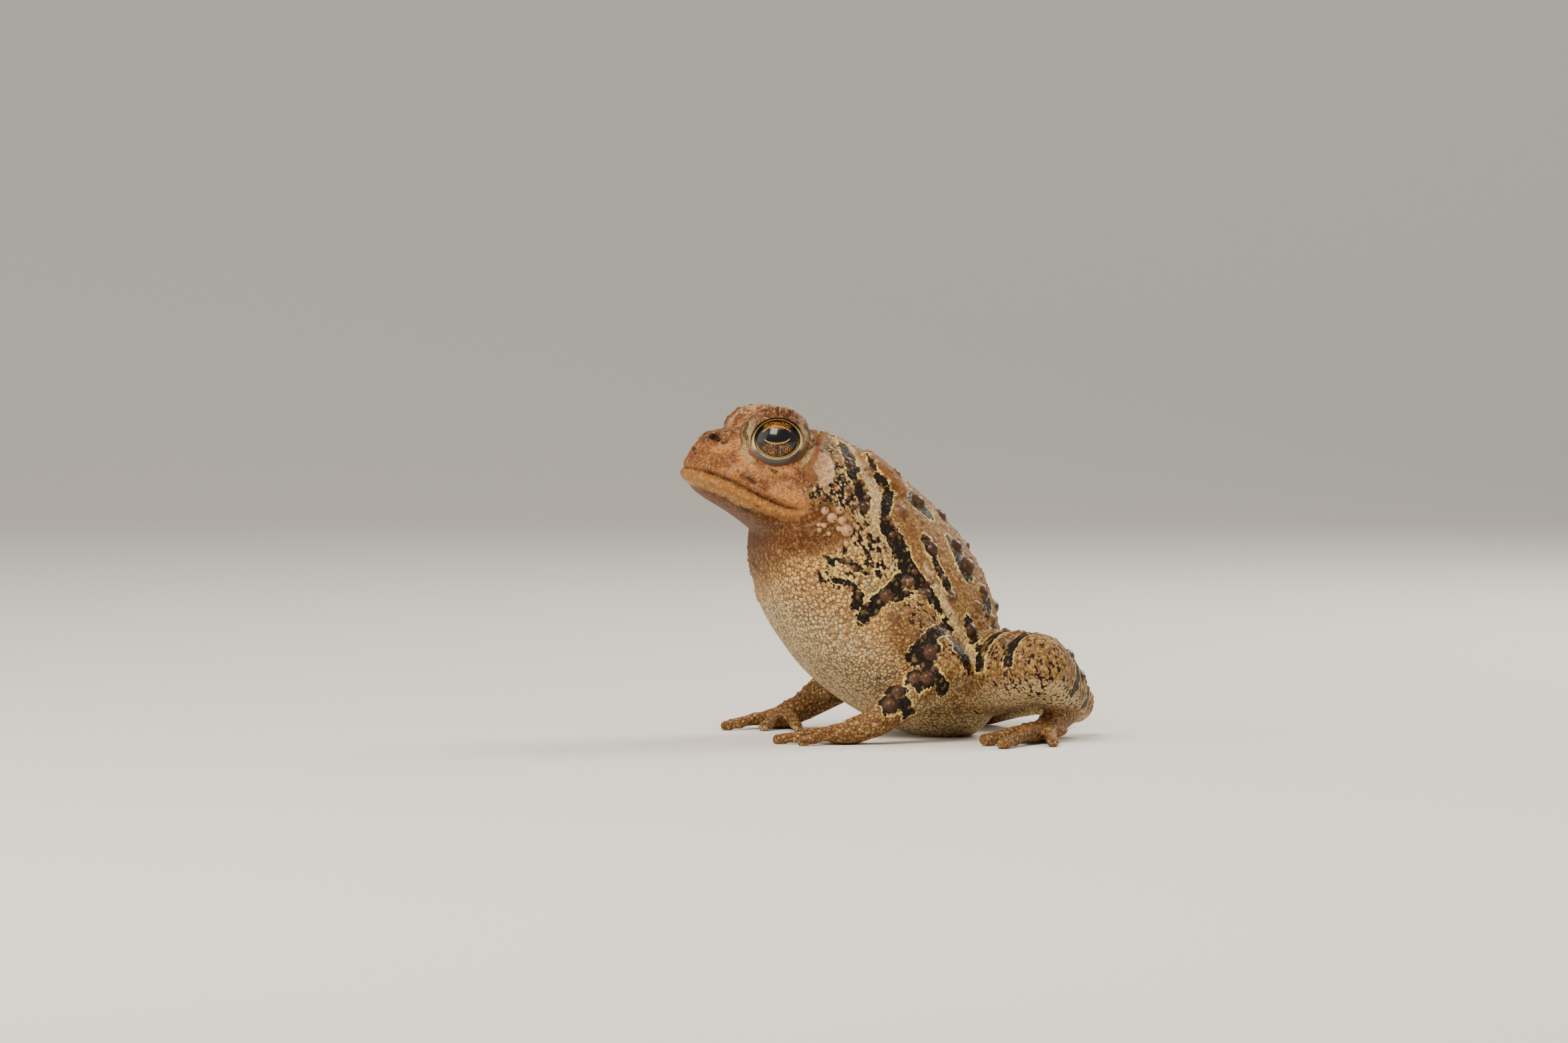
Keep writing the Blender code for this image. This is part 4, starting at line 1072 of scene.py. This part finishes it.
light_cell = own_chance.step(0.3, 0.7) * dome.step(0.6, 0.3) * speckle.step(0.3, 1.0)
pearly = mixed(noise(0.45, 2.0).step(0.53, 0.6), PEARL, YELLOW)
black_level = streaks * 0.8 + dome * 0.32 + other_chance * 0.12 + speckle.least(0.75) * 0.22
edge = dark + (noise(0.8, 3.0, 0.6) - 0.5) * (1.5 - 0.9 * fine) + (other_chance - 0.5) * 0.35 * (1 - fine)
edge_line = edge.step(0.42, 0.2) * edge.step(-0.1, 0.1) * noise(0.5).step(0.35, 0.55)
inside = edge.step(0.1, -0.05) * (1 - 0.25 * fine)
tipped = own_chance.step(0.45, 0.5) * (coarse + speckle).least(1.0) * (1 - fine)
wart_cover = spot_share.step(0.3, 1.0) * (1 - 0.3 * inside)
colour = carried("paint", 0)
for share, over in (
        (small.step(0.46, 0.62) * 0.45 * body, LIGHT_MOTTLE),
        (noise(1.1, 4.0, 0.65, (7.0, 3.0, 1.0)).step(0.50, 0.64) * 0.5 * body, DARK_MOTTLE),
        # Painted shade where the face's crusty relief is low.
        (crust.step(0.54, 0.40) * face * 0.65, FACE_SHADE),
        (noise(2.0, 5.0, 0.7, (5.0, 2.0, 8.0)).step(0.53, 0.60) * face * 0.6, FLAKE),
        (veins * face * 0.7, FLAKE),
        (noise(1.3, 3.0, 0.6, (8.0, 1.0, 5.0)).step(0.58, 0.66) * face * 0.35, LILAC),
        (noise(1.7, 5.0, 0.7, (1.0, 7.0, 2.0)).step(0.60, 0.66) * face * 0.75, FACE_DARK),
        (noise(0.8, 4.0, 0.65, (2.0, 2.0, 7.0)).step(0.46, 0.54) * carried("lid_top") * 0.9, RED_BROWN),
        (own_chance.step(0.5, 1.0) * grain * (1 - fine) * 0.4, SPOT_EDGE),
        # Painted shade: each granule darkens towards its edge, and the gaps between granules darken.
        (dome.step(0.30, 0.66) * grain * 0.55, CREVICE_SHADE),
        ((1 - gap.step(0.0, 0.13)) * (grain * 0.7 + 0.05), CREVICE_SHADE),
        (noise(1.5, 5.0, 0.7, (6.0, 6.0, 1.0)).step(0.47, 0.58) * carried("drum") * 0.55, DRUM_MOTTLE),
        # Painted shade deep inside each nostril.
        (carried("nostril"), NOSTRIL_SHADE),
        (light_cell * 0.75, pearly),
        (streaks.step(0.44, 0.36) * speckle.least(1.0) * 0.6, SPOT_EDGE),
        (black_level.step(0.75, 0.82) * speckle.step(0.1, 0.4), BLACK_SPOT),
        (edge_line * (1 - fine), SPOT_EDGE),
        (inside, BLACK_SPOT),
        (inside * own_chance.step(0.86, 0.92) * 0.7 * (1 - fine), OLIVE_FLECK),
        (dome.step(0.17, 0.10) * tipped * 0.8, PALE_WART_DOT),
        # Painted shade in a ring round each wart's foot.
        (spot_share.step(0.02, 0.25) * spot_share.step(0.75, 0.3) * 0.6, CREVICE_SHADE),
        (wart_cover * (1 - 0.35 * small.step(0.4, 0.6)), carried("spot", 0)),
        (tiny.step(0.35, 0.75) * 0.28, (0.0, 0.0, 0.0))):
    colour = mixed(share, colour, over)
for side in (-1, 1):
    for px, py in JAW_WART_DOTS:
        dot = tuple(seen_point(px, py, side) - Vector((MIDDLE, 0, 0)))
        away = node(tree_nodes, "VectorMath", {"operation": "DISTANCE"}, {0: in_mm, 1: dot}, 1)
        colour = mixed(away.step(*DOT_RADII), colour, PALE_WART_DOT)
height = (1 - dome * dome * 2.2).most(0.0) * (grain * 0.9 + 0.1) * (1 - 0.5 * fine + 0.9 * coarse)
height = height + (small * 0.5 + crust * face * 0.45) * (1 - 0.7 * spot_share)
plug(shader, {
    "Base Color": colour,
    "Roughness": 0.60 - inside * 0.12 - spot_share * 0.16 + (small - 0.5) * 0.3,
    "Coat Weight": spot_share * 0.35 + 0.01, "Coat Roughness": 0.3, "Specular IOR Level": 0.1,
    "Subsurface Weight": 0.06, "Subsurface Radius": (1.0, 0.45, 0.25), "Subsurface Scale": 0.5 * MM,
    "Normal": node(tree_nodes, "Bump", {}, {"Strength": 0.9, "Distance": RELIEF * MM, "Height": height}),
})
skin.data.materials.clear()
skin.data.materials.append(finish)


def place_in_row(obj):
    """Brings a finished piece from the toad's millimetres to the frame's metres."""
    obj.data.transform(TO_ROW)
    obj.data.shade_smooth()


place_in_row(skin)
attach(skin, "root")
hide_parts(*[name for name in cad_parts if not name.startswith("eye")])

# Eyeballs. Each is a glossy ball. Its iris is black with gold flecks above and below a long, level pupil,
# and a gold line runs under the pupil.
PUPIL = (-0.1, 0.35, 1.95, 1.05)     # middle across and up, half width and half height
IRIS = (3.35, 2.85)
IRIS_BLACK = tint(16, 11, 9)
GOLD = tint(172, 108, 20)
PALE_GOLD = tint(224, 172, 80)
WHITE_OF_EYE = tint(120, 100, 80)
PUPIL_BLACK = tint(4, 4, 5)

finish, tree_nodes, shader = new_finish("eye_gloss")
in_mm = in_millimetres()
across, up = carried("across"), carried("up")


def oval(centre_across, centre_up, half_across, half_up):
    """0 at an oval's middle, 1 on its edge."""
    first = (across - centre_across) * (1 / half_across)
    second = (up - centre_up) * (1 / half_up)
    return (first * first + second * second).maths("SQRT")


pupil = oval(*PUPIL)
iris = oval(0, 0, *IRIS)
flecks = noise(5.5, 3.0, 0.65)
veins = noise(2.2, 4.0, 0.7, (4.0, 4.0, 4.0))
lower_gold = (up + 0.45).step(0.1, -0.3) * oval(0.0, -1.5, 2.5, 1.15).step(1.0, 0.75)
lower_gold = lower_gold * across.size().step(0.05, 0.2)
upper_gold = oval(0.0, 1.95, 2.4, 0.75).step(1.0, 0.7)
gold = (lower_gold * flecks.step(0.52, 0.57)).most(upper_gold * flecks.step(0.50, 0.55))
under_line = (pupil - 1.05).size().step(0.06, 0.02) * up.step(0.2, -0.3) * across.size().step(2.1, 1.6)
over_line = (oval(-0.1, 0.4, 2.3, 1.4) - 1.0).size().step(0.06, 0.015) * up.step(0.9, 1.3)
rim_line = (iris - 0.965).size().step(0.035, 0.01) * up.step(0.4, -1.5)
colour = mixed(gold, IRIS_BLACK, GOLD)
colour = mixed(under_line.most(over_line * veins.step(0.40, 0.5)).most(rim_line * 0.7), colour, PALE_GOLD)
colour = mixed(pupil.step(1.0, 0.96), colour, PUPIL_BLACK)
colour = mixed(iris.step(1.0, 1.05), colour, WHITE_OF_EYE)
plug(shader, {"Base Color": colour, "Roughness": 0.25, "Coat Weight": 1.0, "Coat Roughness": 0.02,
              "Coat IOR": 1.36, "Specular IOR Level": 0.15})

for side, name in ((-1, "left"), (1, "right")):
    bm = bmesh.new()
    bmesh.ops.create_uvsphere(bm, u_segments=96, v_segments=64, radius=EYE_RADIUS,
                              matrix=eye_frame(side) @ Matrix.Rotation(math.radians(90), 4, "Y"))
    eyeball = object_from(bm, f"eyeball_{name}")
    local = within(eye_frame(side), coordinates(eyeball.data)[0])
    keep(eyeball, "across", local[:, 1] * -side)
    keep(eyeball, "up", local[:, 2])
    eyeball.data.materials.append(finish)
    place_in_row(eyeball)
    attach(eyeball, "root")
    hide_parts(f"eye_{name}")

# Eyelids. A smooth margin lines each opening: cream round the eye, and a broad grey crescent below, which
# is the lower lid's clear part drawn down.
LID_INNER = (3.36, 2.88)
LID_TURNS = 96
LID_STEPS = 14
LID_DEPTH = 3.3
LID_ROUNDING = 1.04
LID_CLEARANCE = 0.28
LID_TUCK = 0.2                       # how far the margin reaches past its own edge, under the skin
LID_EDGE_SHARE = 0.2
LID_THICKNESS = 0.25
LID_CREAM = tint(184, 168, 120)
LID_GREY = tint(62, 60, 56)
LID_BROWN = tint(120, 100, 78)

finish, tree_nodes, shader = new_finish("lid_margin")
in_mm = in_millimetres()
crescent = carried("up").step(-1.0, -1.9) * carried("out").step(0.03, 0.08)
colour = mixed(noise(1.5, 3.0).step(0.5, 0.65) * 0.5, LID_CREAM, LID_BROWN)
colour = mixed(crescent, colour, LID_GREY)
# Painted shade at the margin's outer edge, where it tucks under the skin.
colour = mixed(carried("edge").step(0.84, 0.95) * 0.85, colour, CREST_BROWN)
plug(shader, {"Base Color": colour, "Roughness": 0.35, "Coat Weight": 0.5, "Coat Roughness": 0.15,
              "Subsurface Weight": 0.3, "Subsurface Scale": 0.8 * MM})


def on_margin(share, angle):
    """A point of the lids' margin: share runs from the ball to the outer edge, angle round the eye."""
    across, up = math.cos(angle), math.sin(angle)
    inner = Vector((0, LID_INNER[0] * across, LID_INNER[1] * up))
    outer = Vector((0, (LID_OUTER[0] + LID_TUCK) * across, (LID_OUTER[1] + LID_TUCK) * up - LID_DROP))
    at = inner.lerp(outer, share)
    on_ball = math.sqrt(EYE_RADIUS**2 - inner.length**2)
    domed = LID_DEPTH * math.sqrt(1 - (at.length / outer.length / LID_ROUNDING) ** 2)
    over_ball = math.sqrt(max(EYE_RADIUS**2 - at.length**2, 0)) + LID_CLEARANCE
    risen = math.sin(math.pi / 2 * min(share / LID_EDGE_SHARE, 1))
    at.x = on_ball + (max(domed, over_ball) - on_ball) * risen
    return at


for side, name in ((-1, "left"), (1, "right")):
    bm = bmesh.new()
    rings = []
    for step in range(LID_STEPS + 1):
        ring = [bm.verts.new(eye_frame(side) @ on_margin(step / LID_STEPS, 2 * math.pi * turn / LID_TURNS))
                for turn in range(LID_TURNS)]
        rings.append([bm.edges.new((ring[i - 1], ring[i])) for i in range(LID_TURNS)])
    for first, second in zip(rings, rings[1:]):
        bmesh.ops.bridge_loops(bm, edges=first + second)
    bmesh.ops.recalc_face_normals(bm, faces=bm.faces)
    lid = object_from(bm, f"lid_margin_{name}")
    thick = lid.modifiers.new("thick", "SOLIDIFY")
    thick.thickness = LID_THICKNESS
    thick.offset = -1
    settle(lid)
    local = within(eye_frame(side), coordinates(lid.data)[0])
    keep(lid, "up", local[:, 2])
    keep(lid, "edge", from_oval(local[:, 1], local[:, 2] + LID_DROP, LID_OUTER))
    keep(lid, "out", from_oval(local[:, 1], local[:, 2], LID_INNER) - 1)
    lid.data.materials.append(finish)
    place_in_row(lid)
    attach(lid, "root")

# Floor and light. A wide pale sheet curves up far behind. One large soft light stands above and to the front
# left, a weaker one before the snout, a third behind on the right, and an even pale sky fills the shade.
FLOOR_HALF = 3.0
SWEEP_START = 0.9
SWEEP_RADIUS = 0.8
SWEEP_TOP = 2.0
FLOOR_GAP = 0.00005                  # under the toad's lowest points
PAPER = tint(226, 222, 214)
AIM = Vector((0, 0, 0.025))
LIGHTS = [
    ("key", (-0.30, -0.45, 0.60), 0.40, 7.5, (1.0, 0.93, 0.83)),
    ("fill", (-0.60, 0.0, 0.22), 0.60, 2.0, (1.0, 0.92, 0.82)),
    ("rim", (0.45, 0.30, 0.45), 0.35, 4.5, (1.0, 0.94, 0.84)),
]
SKY = (0.93, 0.91, 0.88, 1)
SKY_STRENGTH = 0.55

bm = bmesh.new()
front = bm.verts.new((-FLOOR_HALF, -FLOOR_HALF, 0))
back = bm.verts.new((-FLOOR_HALF, SWEEP_START, 0))
bm.edges.new((front, back))
arc = bmesh.ops.spin(bm, geom=[back], cent=(-FLOOR_HALF, SWEEP_START, SWEEP_RADIUS), axis=(1, 0, 0),
                     angle=math.radians(90), steps=24)
top = next(item for item in arc["geom_last"] if isinstance(item, bmesh.types.BMVert))
raised = bmesh.ops.extrude_vert_indiv(bm, verts=[top])["verts"]
bmesh.ops.translate(bm, verts=raised, vec=(0, 0, SWEEP_TOP))
across_floor = bmesh.ops.extrude_edge_only(bm, edges=list(bm.edges))["geom"]
bmesh.ops.translate(bm, verts=[item for item in across_floor if isinstance(item, bmesh.types.BMVert)],
                    vec=(2 * FLOOR_HALF, 0, 0))
bmesh.ops.recalc_face_normals(bm, faces=bm.faces)
floor = object_from(bm, "floor")
floor.data.transform(Matrix.Rotation(math.radians(AZIMUTH), 4, "Z") @ Matrix.Translation((0, 0, -FLOOR_GAP)))
floor.data.shade_smooth()
paper, _, shader = new_finish("pale_paper")
plug(shader, {"Base Color": PAPER, "Roughness": 0.85})
floor.data.materials.append(paper)

for name, place, size, power, colour in LIGHTS:
    light = bpy.data.lights.new(name, "AREA")
    light.size = size
    light.energy = power
    light.color = colour
    lamp = new_object(name, light)
    lamp.location = place
    lamp.rotation_mode = "QUATERNION"
    lamp.rotation_quaternion = (AIM - Vector(place)).to_track_quat("-Z", "Y")
world = bpy.data.worlds.new("studio")
bpy.context.scene.world = world
world.use_nodes = True
world.node_tree.nodes["Background"].inputs["Color"].default_value = SKY
world.node_tree.nodes["Background"].inputs["Strength"].default_value = SKY_STRENGTH
